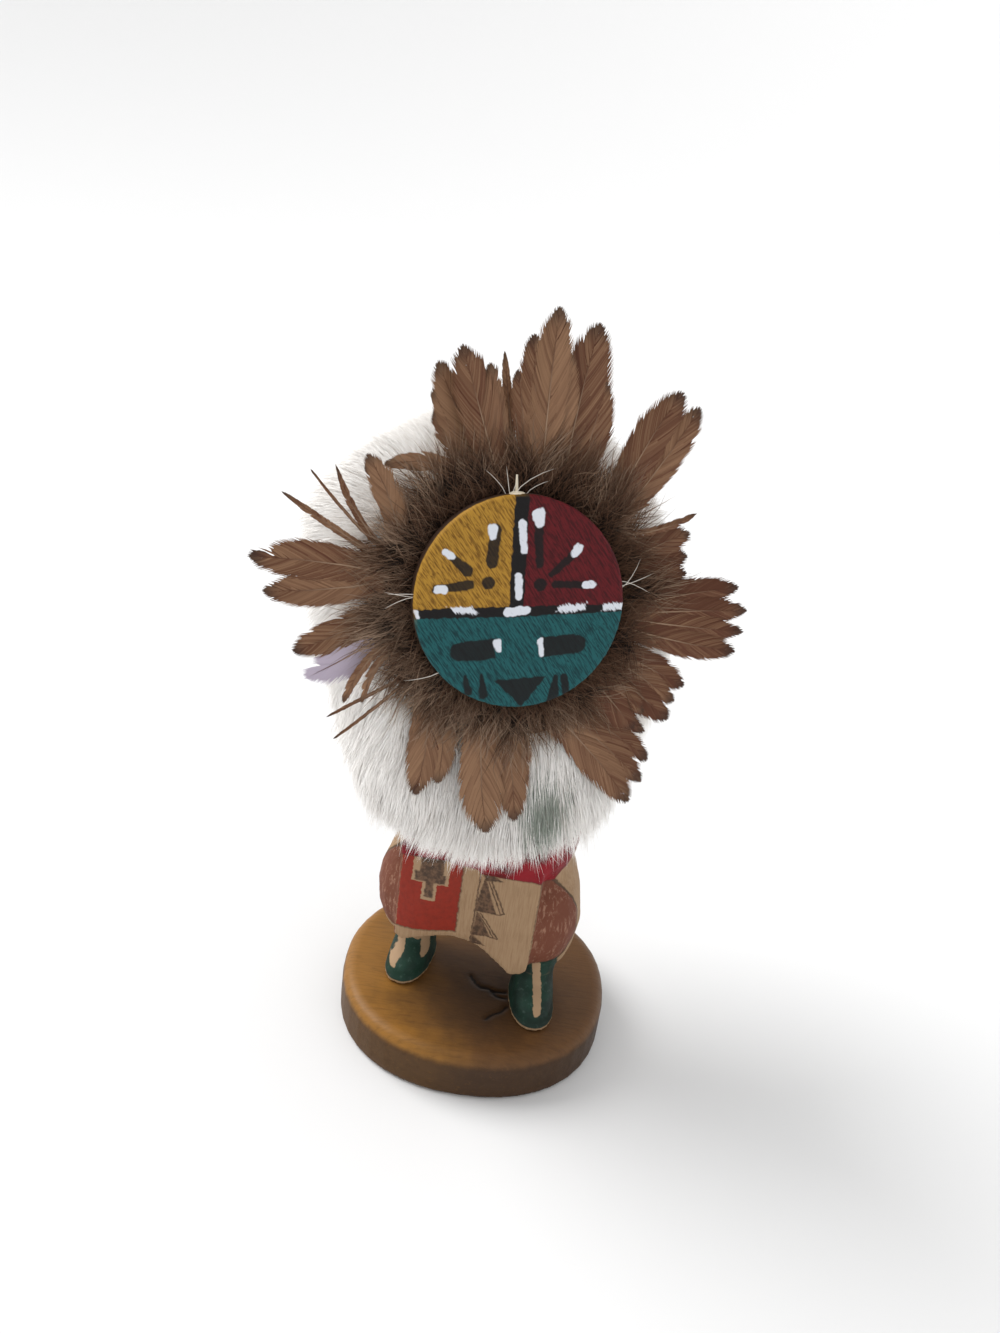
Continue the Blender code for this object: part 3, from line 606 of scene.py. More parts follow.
# The face: a round board of thin wood, sanded, painted in three fields with black bands between
# them, then marked with black and white strokes. It is glued to the block behind it.
FACE_YAW = math.radians(15)
FACE_TILT = math.radians(13)
FACE_SPIN = math.radians(5.2)
FACE_THICKNESS = 6.0 * MM
FACE_VOXEL = 0.5 * MM
OCHRE = srgb(170, 127, 45)
OCHRE_STREAK = srgb(96, 62, 16)
DARK_RED = srgb(92, 16, 23)
RED_STREAK = srgb(46, 8, 12)
TEAL = srgb(26, 86, 89)
TEAL_STREAK = srgb(8, 42, 47)
BLACK_PAINT = srgb(19, 16, 17)
WHITE_PAINT = srgb(214, 218, 226)
BOARD_EDGE = srgb(72, 50, 36)
BOARD_EDGE_DARK = srgb(38, 27, 21)
# The brush went from the upper left to the lower right of every field
BRUSH_TURN = math.radians(-57)
# Where each field passes into the next, the rim's ring of painted highlight, and the dark side below the
# front
RED_STARTS = (-0.3, 0.3)
TEAL_STARTS = (-1.4, -1.8)
RIM_HIGHLIGHT_STARTS = (24.1, 24.9)
SIDE_STARTS = (-0.9, -1.5)
# On the board, right and up from its middle, in millimetres
UPRIGHT_BAND = ((-2.8, -1.6), (0.5, -1.6), (1.95, 25.0), (-1.3, 25.0))
LEVEL_BAND = ((-26.0, -2.45), (-2.2, -3.0), (26.0, -2.75), (26.0, -0.85), (-2.2, -0.6), (-26.0, -0.05))
WHITE_DASHES = (
    ((0.24, 18.0), (0.72, 11.9), 1.9, 1.5), ((-0.55, 6.2), (-0.62, 1.5), 1.8, 1.5),
    ((-3.2, -1.85), (1.2, -1.55), 2.0, 1.9), ((-24.1, -0.9), (-23.6, -2.2), 1.0, 0.8),
    ((-6.45, 17.2), (-6.55, 15.3), 2.2, 1.5), ((-15.9, 11.3), (-17.3, 12.1), 1.7, 1.4),
    ((-17.7, 3.95), (-19.2, 3.9), 1.9, 1.7), ((4.0, 20.0), (4.1, 18.0), 3.0, 2.0),
    ((12.4, 10.9), (13.4, 12.2), 1.7, 2.1), ((15.1, 3.7), (16.6, 3.8), 1.7, 1.9),
    ((-5.6, -8.9), (-5.25, -10.5), 1.9, 1.2), ((4.5, -8.9), (4.85, -12.0), 1.35, 1.35),
)
BRUSHED_DASHES = (
    ((-16.4, -0.35), (-15.2, -1.5), (-10.2, -1.75), (-11.3, -0.3)),
    ((8.3, -2.3), (15.0, -2.0), (15.2, -0.6), (8.9, -0.9)),
    ((19.3, -2.3), (24.6, -2.2), (24.6, -0.9), (19.5, -1.1)),
)
BLACK_STROKES = (
    ((-7.7, 5.1), (-7.5, 5.1), 2.9, 2.9), ((-6.75, 9.7), (-5.75, 17.0), 2.8, 2.4),
    ((-12.3, 7.8), (-15.7, 11.0), 2.5, 1.7), ((-11.9, 4.7), (-19.6, 4.0), 2.2, 1.7),
    ((4.45, 4.2), (4.6, 4.2), 2.9, 2.9), ((4.3, 8.6), (3.95, 17.0), 1.7, 2.1),
    ((7.1, 6.5), (12.2, 10.7), 1.5, 1.9), ((7.9, 4.1), (15.0, 3.7), 1.7, 1.7),
    ((-13.2, -16.4), (-12.4, -20.0), 0.9, 2.1), ((-9.3, -16.4), (-8.9, -20.9), 0.9, 2.2),
    ((8.3, -17.6), (7.6, -23.0), 1.0, 3.0), ((10.3, -17.9), (10.9, -22.3), 1.9, 1.6),
    ((-14.4, -10.6), (-9.0, -10.4), 4.2, 4.3), ((13.2, -10.1), (8.5, -10.3), 4.3, 4.4),
)
EYES = (
    ((-13.0, -12.6), (-6.3, -12.3), (-6.4, -8.1), (-13.0, -8.4)),
    ((5.4, -12.5), (12.5, -12.1), (12.5, -7.9), (5.2, -8.3)),
)
MOUTH = ((-5.8, -17.8), (0.1, -24.0), (5.4, -17.6))

face_turn = (
    Matrix.Rotation(FACE_YAW, 3, "Z")
    @ Matrix.Rotation(math.pi / 2 - FACE_TILT, 3, "X")
    @ Matrix.Rotation(FACE_SPIN, 3, "Z")
)
face_right, face_up, face_out = (face_turn.col[axis] for axis in range(3))
face_low, face_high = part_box("face_disc")
face_front = (face_low + face_high) / 2 + face_out * FACE_THICKNESS / 2

board = remeshed("face_disc", "face_board", FACE_VOXEL, smoothing=3)
points, normals = surface_of(board)
local = (points - np.array(face_front)) @ np.array(face_turn) / MM
brush = np.array((math.cos(BRUSH_TURN), math.sin(BRUSH_TURN)))
with_brush = local[:, :2] @ brush
over_brush = local[:, :2] @ np.array((-brush[1], brush[0]))
streaks = waves(np.stack([over_brush * 1.9, with_brush * 0.22, local[:, 2]], axis=1), 1.0, 4.0)
streaks += 0.6 * waves(np.stack([over_brush * 0.7, with_brush * 0.12, local[:, 2]], axis=1), 1.0, 7.0)
move_points(board, points + normals * (streaks * 0.075 * MM)[:, None])

mask = Finish("painted_face", Specular_IOR_Level=0.2)
spot = mask.place()
from_middle = mask.shifted(spot, tuple(-face_front / MM))
right, up, out = (mask.reach(from_middle, tuple(axis)) for axis in (face_right, face_up, face_out))
on_board = mask.flat(right, up)
drawn = mask.unsteady(on_board, spot, 0.7, 3.0, (1.1, 1.1, 0.0))
brushed = mask.node("ShaderNodeMapping", {}, {"Vector": on_board, "Rotation": (0, 0, -BRUSH_TURN)})
streak = mask.speckle(mask.stretched(brushed, (0.16, 1.9, 1.0)), 1.0, 3.0, 0.6)
fine_streak = mask.speckle(mask.stretched(brushed, (0.45, 4.5, 1.0)), 1.0, 2.0, 0.5)
fleck = mask.speckle(mask.stretched(brushed, (0.8, 2.6, 1.0)), 1.0, 2.0, 0.5)
grain_line = mask.ease(streak * 0.5 + fine_streak * 0.5, 0.46, 0.58)


def field(paint_colour, streak_colour, strength):
    """A painted field, thinner where the brush left its streaks."""
    worn = mask.blend(grain_line * strength, paint_colour, streak_colour)
    return mask.blend(mask.ease(fleck, 0.60, 0.70) * strength, worn, streak_colour)


mask.colour = mask.blend(
    mask.ease(right, *RED_STARTS), field(OCHRE, OCHRE_STREAK, 0.82), field(DARK_RED, RED_STREAK, 0.8))
mask.lay(mask.ease(up, *TEAL_STARTS), field(TEAL, TEAL_STREAK, 0.85))
bands = nearest(mask.polygon, drawn, (UPRIGHT_BAND, LEVEL_BAND))
strokes = nearest(mask.stroke, drawn, BLACK_STROKES)
blocks = nearest(mask.polygon, drawn, (*EYES, MOUTH))
black = most(mask.ease(bands, 0.2, -0.15), mask.ease(least(strokes, blocks - 0.25), 0.25, -0.2) * 0.93)
mask.lay(black, BLACK_PAINT)
white = mask.ease(nearest(mask.stroke, drawn, WHITE_DASHES), 0.2, -0.15)
dry = nearest(mask.polygon, drawn, BRUSHED_DASHES) + (streak - 0.42) * 2.6
dry_white = mask.ease(dry, 0.55, 0.0)
white = most(white, dry_white) * (1.0 - mask.ease(fine_streak, 0.62, 0.75) * 0.35)
mask.lay(white, WHITE_PAINT)
# The rim round the ochre gets a painted highlight, and the sides and back are coloured dark brown
rim_highlight = mask.ease(mask.size(on_board) + streak * 0.8, *RIM_HIGHLIGHT_STARTS)
mask.lay(rim_highlight * 0.55 * mask.ease(up, -6.0, 4.0) * mask.ease(right, 3.0, -3.0), OCHRE)
side = mask.ease(out, *SIDE_STARTS)
mask.lay(side, mask.blend(streak, BOARD_EDGE, BOARD_EDGE_DARK))
mask.coat(Roughness=0.60 - white * 0.12 + (streak - 0.5) * 0.25)
mask.relief(streak * 0.5 + fine_streak * 0.35 + white * 0.5 + black * 0.15, 0.00016, 0.75)
ride_as(board, mask, "painted_face", "face_disc")

# The down: the soft lower barbs of all the feathers, glued behind the board in one matted ring.
# The ring itself is a dark felted core. Fine curled strands stand out of it, short ones all over
# and longer ones in loose wisps.
FELT_VOXEL = 0.9 * MM
DOWN_STRANDS = 13000
DOWN_ROOT = (17.5, 25.5)
DOWN_BEHIND = (6.6, 13.6)
DOWN_REACH = (27.0, 37.0)
DOWN_SPREAD = math.radians(26)
DOWN_CURL = 1.2
DOWN_WIDTH = 0.17
DOWN_STEPS = 5
WISPS = 240
WISP_STRANDS = 22
WISP_ROOT = (24.0, 30.0)
WISP_LENGTH = (8.0, 18.0)
WISP_BEHIND = (5.5, 11.0)
WISP_WIDTH = 0.22
# The palest side of the ring, round from the viewer's right
PALE_SIDE = math.radians(195)
DARK_DOWN = srgb(25, 16, 11)
BROWN_DOWN = srgb(86, 61, 45)
GREY_DOWN = srgb(150, 126, 106)
# The ribbons' UV map, and half the width of a ribbon on it
STRAND_UV = "OFBake"
UV_SPAN = 0.012


def ribbons(name, spines, across, widths, tones, shares=None):
    """One mesh of narrow ribbons that taper to a point, from arrays in metres.

    Each ribbon has the points of its spine, the direction of its width and its width at each
    point, and a tone. In the UV map a ribbon lies upright at its tone, from its root to its tip.
    """
    count, steps = spines.shape[:2]
    if shares is None:
        shares = np.tile(np.linspace(0.02, 0.98, steps), (count, 1))
    half = across * widths[..., None] / 2
    edges = np.stack([spines - half, spines + half], axis=2)[:, :-1]
    points = np.concatenate([edges.reshape(count, -1, 3), spines[:, -1:]], axis=1)
    each = points.shape[1]
    rungs = np.arange(steps - 2)[:, None] * 2 + np.array((0, 1, 3, 2))
    first = np.arange(count)[:, None] * each
    quads = (first[..., None] + rungs).reshape(-1, 4)
    ends = first + np.array((each - 3, each - 2, each - 1))
    mesh = bpy.data.meshes.new(name)
    mesh.from_pydata(points.reshape(-1, 3), [], quads.tolist() + ends.tolist())
    sideways = np.array((-UV_SPAN, UV_SPAN))
    u = (tones[:, None, None] + np.tile(sideways, (count, steps - 1, 1))).reshape(count, -1)
    u = np.concatenate([u, tones[:, None]], axis=1)
    v = np.concatenate([np.repeat(shares[:, :-1], 2, axis=1), shares[:, -1:]], axis=1)
    corners = np.empty(len(mesh.loops), np.int32)
    mesh.loops.foreach_get("vertex_index", corners)
    pattern = np.stack([u.ravel(), v.ravel()], axis=1)[corners]
    mesh.uv_layers.new(name=STRAND_UV).data.foreach_set("uv", pattern.astype(np.float32).ravel())
    mesh.shade_smooth()
    made = bpy.data.objects.new(name, mesh)
    bpy.context.scene.collection.objects.link(made)
    return made


def in_row(points):
    """Points in the face's own millimetres, right, up and out, as places on the object."""
    turn = np.array(face_turn)
    return points * MM @ turn.T + np.array(face_front)


def turned(vectors):
    """Directions in the face's own frame, turned as the face is."""
    return vectors @ np.array(face_turn).T


def unit(vectors):
    return vectors / np.maximum(np.linalg.norm(vectors, axis=-1, keepdims=True), 1e-12)


def polar(angle, radius=1.0):
    """Flat points at angles in radians and distances from the face's middle."""
    return np.stack([np.cos(angle) * radius, np.sin(angle) * radius], axis=-1)


def along_strand(finish):
    """A strand's tone, and how far from its root to its tip a spot is."""
    return finish.split(finish.node("ShaderNodeUVMap", {"uv_map": STRAND_UV}, {}))[:2]


down_core = remeshed("down_ring", "down_felt", FELT_VOXEL)
points, normals = surface_of(down_core)
ruffle = 0.55 * waves(points, 2.1 * MM, 3.0) + 0.5 * waves(points, 5 * MM, 9.0) - 0.9
move_points(down_core, points + normals * ruffle[:, None] * MM)

draw = np.random.default_rng(11)
angle = draw.uniform(0, 2 * math.pi, DOWN_STRANDS)
root_radius = draw.uniform(*DOWN_ROOT, DOWN_STRANDS)
behind = draw.uniform(*DOWN_BEHIND, DOWN_STRANDS)
clump = waves(np.stack([*polar(angle, 7.0).T, behind * 0.25], axis=1), 1.0, 3.0)
reach = draw.triangular(DOWN_REACH[0], 30.0, DOWN_REACH[1], DOWN_STRANDS) * (1 + 0.16 * clump)
lean = draw.normal(0, DOWN_SPREAD, DOWN_STRANDS) + 0.5 * clump
rise = draw.normal(1.6, 2.4, DOWN_STRANDS)
curl = draw.normal(0, DOWN_CURL, (2, DOWN_STRANDS))
phase = draw.uniform(0, 2 * math.pi, DOWN_STRANDS)
strand_tone = 0.34 + 0.20 * np.cos(angle - PALE_SIDE) + 0.25 * clump

# The wisps: each strand of one leaves the same spot and keeps near its neighbours
wisp_angle = draw.uniform(0, 2 * math.pi, WISPS)
wisp_root = draw.uniform(*WISP_ROOT, WISPS)
wisp_length = draw.uniform(*WISP_LENGTH, WISPS)
wisp_lean = draw.normal(0, math.radians(32), WISPS)
wisp_behind = draw.uniform(*WISP_BEHIND, WISPS)
wisp_rise = draw.normal(0.8, 1.4, WISPS)
of_wisp = np.repeat(np.arange(WISPS), WISP_STRANDS)
many = len(of_wisp)
angle = np.append(angle, wisp_angle[of_wisp] + draw.normal(0, 0.03, many))
root_radius = np.append(root_radius, wisp_root[of_wisp] + draw.normal(0, 0.8, many))
behind = np.append(behind, wisp_behind[of_wisp] + draw.normal(0, 0.4, many))
own_length = wisp_length[of_wisp] * draw.uniform(0.55, 1.05, many)
reach = np.append(reach, root_radius[DOWN_STRANDS:] + own_length)
lean = np.append(lean, wisp_lean[of_wisp] + draw.normal(0, math.radians(9), many))
rise = np.append(rise, wisp_rise[of_wisp] + draw.normal(0, 0.5, many))
curl = np.append(curl, draw.normal(0, 0.8, (2, many)), axis=1)
phase = np.append(phase, draw.uniform(0, 2 * math.pi, WISPS)[of_wisp] + draw.normal(0, 0.4, many))
wisp_tone = draw.uniform(0.30, 0.80, WISPS) + 0.14 * np.cos(wisp_angle - PALE_SIDE)
strand_tone = np.append(strand_tone, wisp_tone[of_wisp])

total = len(angle)
steps = np.linspace(0, 1, DOWN_STEPS)
outward = np.stack([np.cos(angle), np.sin(angle), np.zeros(total)], axis=1)
sideward = np.stack([-np.sin(angle), np.cos(angle), np.zeros(total)], axis=1)
root = outward * root_radius[:, None]
root[:, 2] = -behind
run = (reach - root_radius)[:, None] * (
    outward * np.cos(lean)[:, None] + sideward * np.sin(lean)[:, None])
spines = root[:, None] + run[:, None] * steps[:, None]
wave = np.sin(phase[:, None] + steps * 5.0) - np.sin(phase)[:, None]
spines += sideward[:, None] * (wave * curl[0][:, None])[..., None]
lift = rise[:, None] * steps ** 1.6 + curl[1][:, None] * 0.7 * wave
spines[..., 2] += np.minimum(lift, (behind - 4.2)[:, None] * np.ones(DOWN_STEPS))
along = unit(np.gradient(spines, axis=1))
flat = unit(np.cross(along, np.array((0, 0, 1.0)) + draw.normal(0, 0.5, (total, 1, 3))))
own_width = np.where(np.arange(total) < DOWN_STRANDS, DOWN_WIDTH, WISP_WIDTH) * MM
widths = own_width[:, None] * np.linspace(1.0, 0.4, DOWN_STEPS) * draw.uniform(0.6, 1.25, (total, 1))
tones = np.clip(strand_tone + draw.normal(0, 0.12, total), 0.03, 0.97)
down = ribbons("down", in_row(spines), turned(flat), widths, tones)

fluff = Finish("brown_down", Roughness=0.85, Specular_IOR_Level=0.2)
tone, share = along_strand(fluff)
fluff.colour = fluff.blend(fluff.ease(share, 0.10, 0.60), DARK_DOWN, BROWN_DOWN)
fluff.lay(fluff.ease(share * 0.7 + tone, 0.75, 1.45), GREY_DOWN)
fluff.coat()
ride_as(down, fluff, "brown_down", "down_ring")

felt = Finish("felted_down", Roughness=0.95, Specular_IOR_Level=0.2)
matted = felt.speckle(felt.place(), 1.4, 4.0, 0.65)
felt.colour = felt.blend(felt.ease(matted, 0.35, 0.7), DARK_DOWN, BROWN_DOWN)
felt.coat()
felt.relief(matted, 0.0004, 0.8)
ride_as(down_core, felt, "brown_down")

# The glue: a yellowed bead at the top of the board, with the bare end of a quill stuck in it,
# and white hairs of the pelt that dried fast at the board's edge.
BEAD_PLACE = (-0.5, 24.2, -2.6)
BEAD_SIZE = (1.9, 0.9, 2.0)
QUILL_END = (-0.2, 28.6, -3.4)
QUILL_RADIUS = (0.42, 0.24)
GLUE_COLOUR = srgb(196, 180, 150)
GLUE_CRUST = srgb(228, 220, 204)
CAUGHT_HAIR = srgb(216, 208, 198)
CAUGHT_HAIRS = 12
CAUGHT_LENGTH = (3.0, 8.5)
CAUGHT_FROM = 24.4
CAUGHT_WIDTHS = (0.16, 0.15, 0.13, 0.1, 0.0)
# Where the caught hairs leave the edge, in degrees, and how widely they spread
CAUGHT_AT = ((178, 5), (3, 5), (91, 3), (218, 4))

bpy.ops.mesh.primitive_uv_sphere_add(segments=24, ring_count=16, radius=1.0)
bead = bpy.context.object
bead.name = "glue_bead"
points = points_of(bead)
points *= 1 + 0.22 * waves(points, 0.9, 4.0)[:, None]
move_points(bead, in_row(points * np.array(BEAD_SIZE) + np.array(BEAD_PLACE)))
bead.data.shade_smooth()
quill_run = Vector(QUILL_END) - Vector(BEAD_PLACE)
bpy.ops.mesh.primitive_cone_add(
    vertices=16, radius1=QUILL_RADIUS[0], radius2=QUILL_RADIUS[1], depth=quill_run.length)
quill = bpy.context.object
quill.name = "glued_quill"
quill_turn = np.array(quill_run.to_track_quat("Z", "Y").to_matrix())
move_points(quill, in_row(points_of(quill) @ quill_turn.T + np.array(BEAD_PLACE) + np.array(quill_run) / 2))
quill.data.shade_smooth()
glue = Finish("dried_glue", Roughness=0.38)
crust = glue.speckle(glue.place(), 1.2, 3.0)
glue.colour = glue.blend(crust, GLUE_COLOUR, GLUE_CRUST)
glue.coat()
glue.relief(crust, 0.0002, 0.6)
ride_as(bead, glue, "painted_face")
ride_as(quill, glue, "painted_face")

draw = np.random.default_rng(31)
places = np.array(CAUGHT_AT)[draw.integers(0, len(CAUGHT_AT), CAUGHT_HAIRS)]
angle = np.radians(draw.normal(places[:, 0], places[:, 1]))
steps = np.linspace(0, 1, len(CAUGHT_WIDTHS))
own_length = draw.uniform(*CAUGHT_LENGTH, CAUGHT_HAIRS)
swing = draw.normal(0, 0.7, CAUGHT_HAIRS)[:, None] * steps ** 1.4
radius = CAUGHT_FROM + own_length[:, None] * steps
flat = polar(angle[:, None] + swing * own_length[:, None] / radius, radius)
depth = -1.2 - draw.uniform(0, 2.5, CAUGHT_HAIRS)[:, None] + draw.normal(0, 1.0, (CAUGHT_HAIRS, 1)) * steps
spines = np.concatenate([flat, depth[..., None]], axis=-1)
across = unit(np.cross(unit(np.gradient(spines, axis=1)), np.array((0, 0, 1.0))))
caught = ribbons(
    "caught_hairs", in_row(spines), turned(across),
    np.tile(np.array(CAUGHT_WIDTHS) * MM, (CAUGHT_HAIRS, 1)), np.full(CAUGHT_HAIRS, 0.7))
white_hair = Finish("caught_hair", Roughness=0.6, Base_Color=CAUGHT_HAIR)
ride_as(caught, white_hair, "white_fur")

# The feathers: small soft body feathers of a hen or a game bird. Each is a thin shaft with barbs
# on both sides, rounded at the tip and downy at the root, that cling in tufts and part at splits.
# They leave the down in groups, laid one over another, and some are hardly more than quills.
FACE_EDGE = 24.6
DOWN_MIDDLE_BEHIND = 10.4
LAYER_STEP = 1.4
LAYERS_IN_FRONT = 1.6
# In a group each feather lies this much behind the one before it
MEMBER_STEP = 0.30
ROOT_SHARE = 0.93
LONGEST = 40.0
CURL_FORWARD = 2.0
BARB_SPACING = 0.27
BARB_WIDTH = 0.40
BARB_LEAST = 1.9
BARB_TAPER = (0.8, 1.0, 0.85, 0.0)
BARB_STEPS = len(BARB_TAPER)
OUTLINE_STEPS = 300
WEB_SPACING = 0.95
WEB_WIDTH = 1.5
WEB_DROP = 0.12
MIDDLE_WIDTH = 1.3
SHAFT_WIDTH = (0.42, 0.12)
SPLITS = 3
SPLIT_WIDTH = 1.0
SPLIT_REACH = 1.5
# The barbs' slant to the shaft at the root, and how much less it is at the tip, in degrees
SLANT = (33, 13)
# The share of a feather that is downy, from its root
DOWNY_SHARE = 0.36
TUFT = 2.6
TUFTS = 64
FULLNESS = 1.12
# By packed feather: its layer, then each feather of the group as angle and distance from the
# face's middle at the root and at the tip, width and sideways bow
GROUPS = {
    1: (1, ((5, 30, 5.3, 43.8, 8.0, 0.0), (3, 30, 0.5, 41.5, 6.0, 0.0))),
    2: (2, ((13, 31, 17.2, 46.5, 9.0, 0.5), (11, 31, 10.5, 45.0, 8.0, 0.0))),
    3: (0, ((27, 33, 22.4, 48.5, 1.9, -1.2),)),
    4: (1, ((38, 33, 49.1, 61.8, 9.5, 1.0), (34, 33, 43.8, 62.3, 8.0, -0.8))),
    5: (2, ((64, 31, 71.7, 65.0, 12.0, 0.5), (58, 31, 65.5, 54.0, 9.0, -0.5))),
    6: (0, (
        (76, 30, 81.2, 65.6, 9.0, 0.3), (78, 30, 85.7, 59.2, 7.0, 0.0),
        (80, 30, 89.0, 51.5, 4.5, 0.3), (73, 30, 77.0, 57.0, 8.0, 0.0))),
    7: (2, ((88, 31, 91.6, 55.4, 2.2, 0.0),)),
    8: (1, ((94, 30, 95.7, 53.0, 5.5, 0.0), (95, 30, 98.3, 54.2, 4.0, 0.3))),
    9: (0, ((97, 30, 101.6, 57.8, 9.5, 0.0),)),
    10: (2, (
        (100, 30, 107.4, 55.6, 8.0, 0.5), (103, 30, 110.6, 50.5, 4.5, 0.8),
        (105, 30, 112.6, 46.0, 4.0, 0.8))),
    11: (1, ((107, 31, 133.5, 42.7, 4.0, -2.0),)),
    12: (0, ((158, 30, 134.5, 47.0, 6.0, -1.6), (150, 30, 137.5, 45.5, 2.2, -0.8))),
    13: (2, ((161, 31, 142.2, 50.1, 1.6, 1.8), (160, 33, 146.3, 54.3, 0.5, 0.6))),
    14: (1, ((163, 32, 153.7, 57.7, 1.5, 0.3),)),
    15: (0, ((167, 31, 168.8, 60.6, 8.5, -0.8), (170, 31, 176.0, 57.3, 7.5, 0.8))),
    16: (2, ((183, 31, 191.8, 52.4, 7.5, 0.8), (195, 33, 199.5, 51.5, 8.5, 0.4))),
    17: (0, ((196, 31, 209.5, 46.5, 2.2, -1.6), (200, 31, 213.0, 43.0, 1.8, -1.8))),
    18: (1, ((216, 31, 210.7, 51.5, 0.7, 0.0), (217, 31, 216.5, 53.4, 0.6, 0.4))),
    19: (2, (
        (223, 30, 243.4, 53.5, 8.0, 1.6), (226, 30, 248.2, 49.1, 7.5, 2.0),
        (220, 30, 239.0, 47.0, 5.0, 1.4))),
    20: (0, ((255, 30, 263.2, 58.6, 10.5, -1.0),)),
    21: (1, ((266, 31, 270.5, 56.2, 8.0, 0.6), (269, 31, 273.5, 47.0, 6.0, 0.6))),
    22: (2, (
        (286, 30, 299.3, 62.0, 9.0, 1.2), (289, 30, 304.5, 59.5, 9.0, 1.0),
        (292, 30, 309.5, 56.0, 7.0, 0.8), (296, 30, 314.0, 50.0, 6.0, 0.6))),
    23: (0, ((314, 30, 312.0, 46.0, 8.0, 0.0), (318, 30, 317.5, 45.0, 6.5, 0.0))),
    24: (1, (
        (322, 30, 320.8, 51.6, 7.5, 0.0), (328, 30, 326.0, 50.0, 6.5, 0.0),
        (331, 30, 331.0, 50.6, 8.0, 0.0))),
    25: (0, (
        (343, 30, 344.4, 58.3, 7.0, -0.6), (347, 30, 349.5, 59.2, 6.5, -0.3),
        (349, 30, 354.6, 59.4, 7.5, 0.3), (352, 30, 0.3, 56.8, 7.0, 0.6))),
}
# The one feather that shows its lavender underside, by group and place in it
TURNED_OVER = (16, 1)
RED_BROWN = srgb(88, 50, 31)
FAWN = srgb(144, 109, 81)
TIP_BROWN = srgb(40, 30, 25)
SHAFT_PALE = srgb(150, 122, 98)
UNDERSIDE = srgb(186, 174, 190)
SHAFT_TONE = 0.985
UNDERSIDE_TONE = 0.955


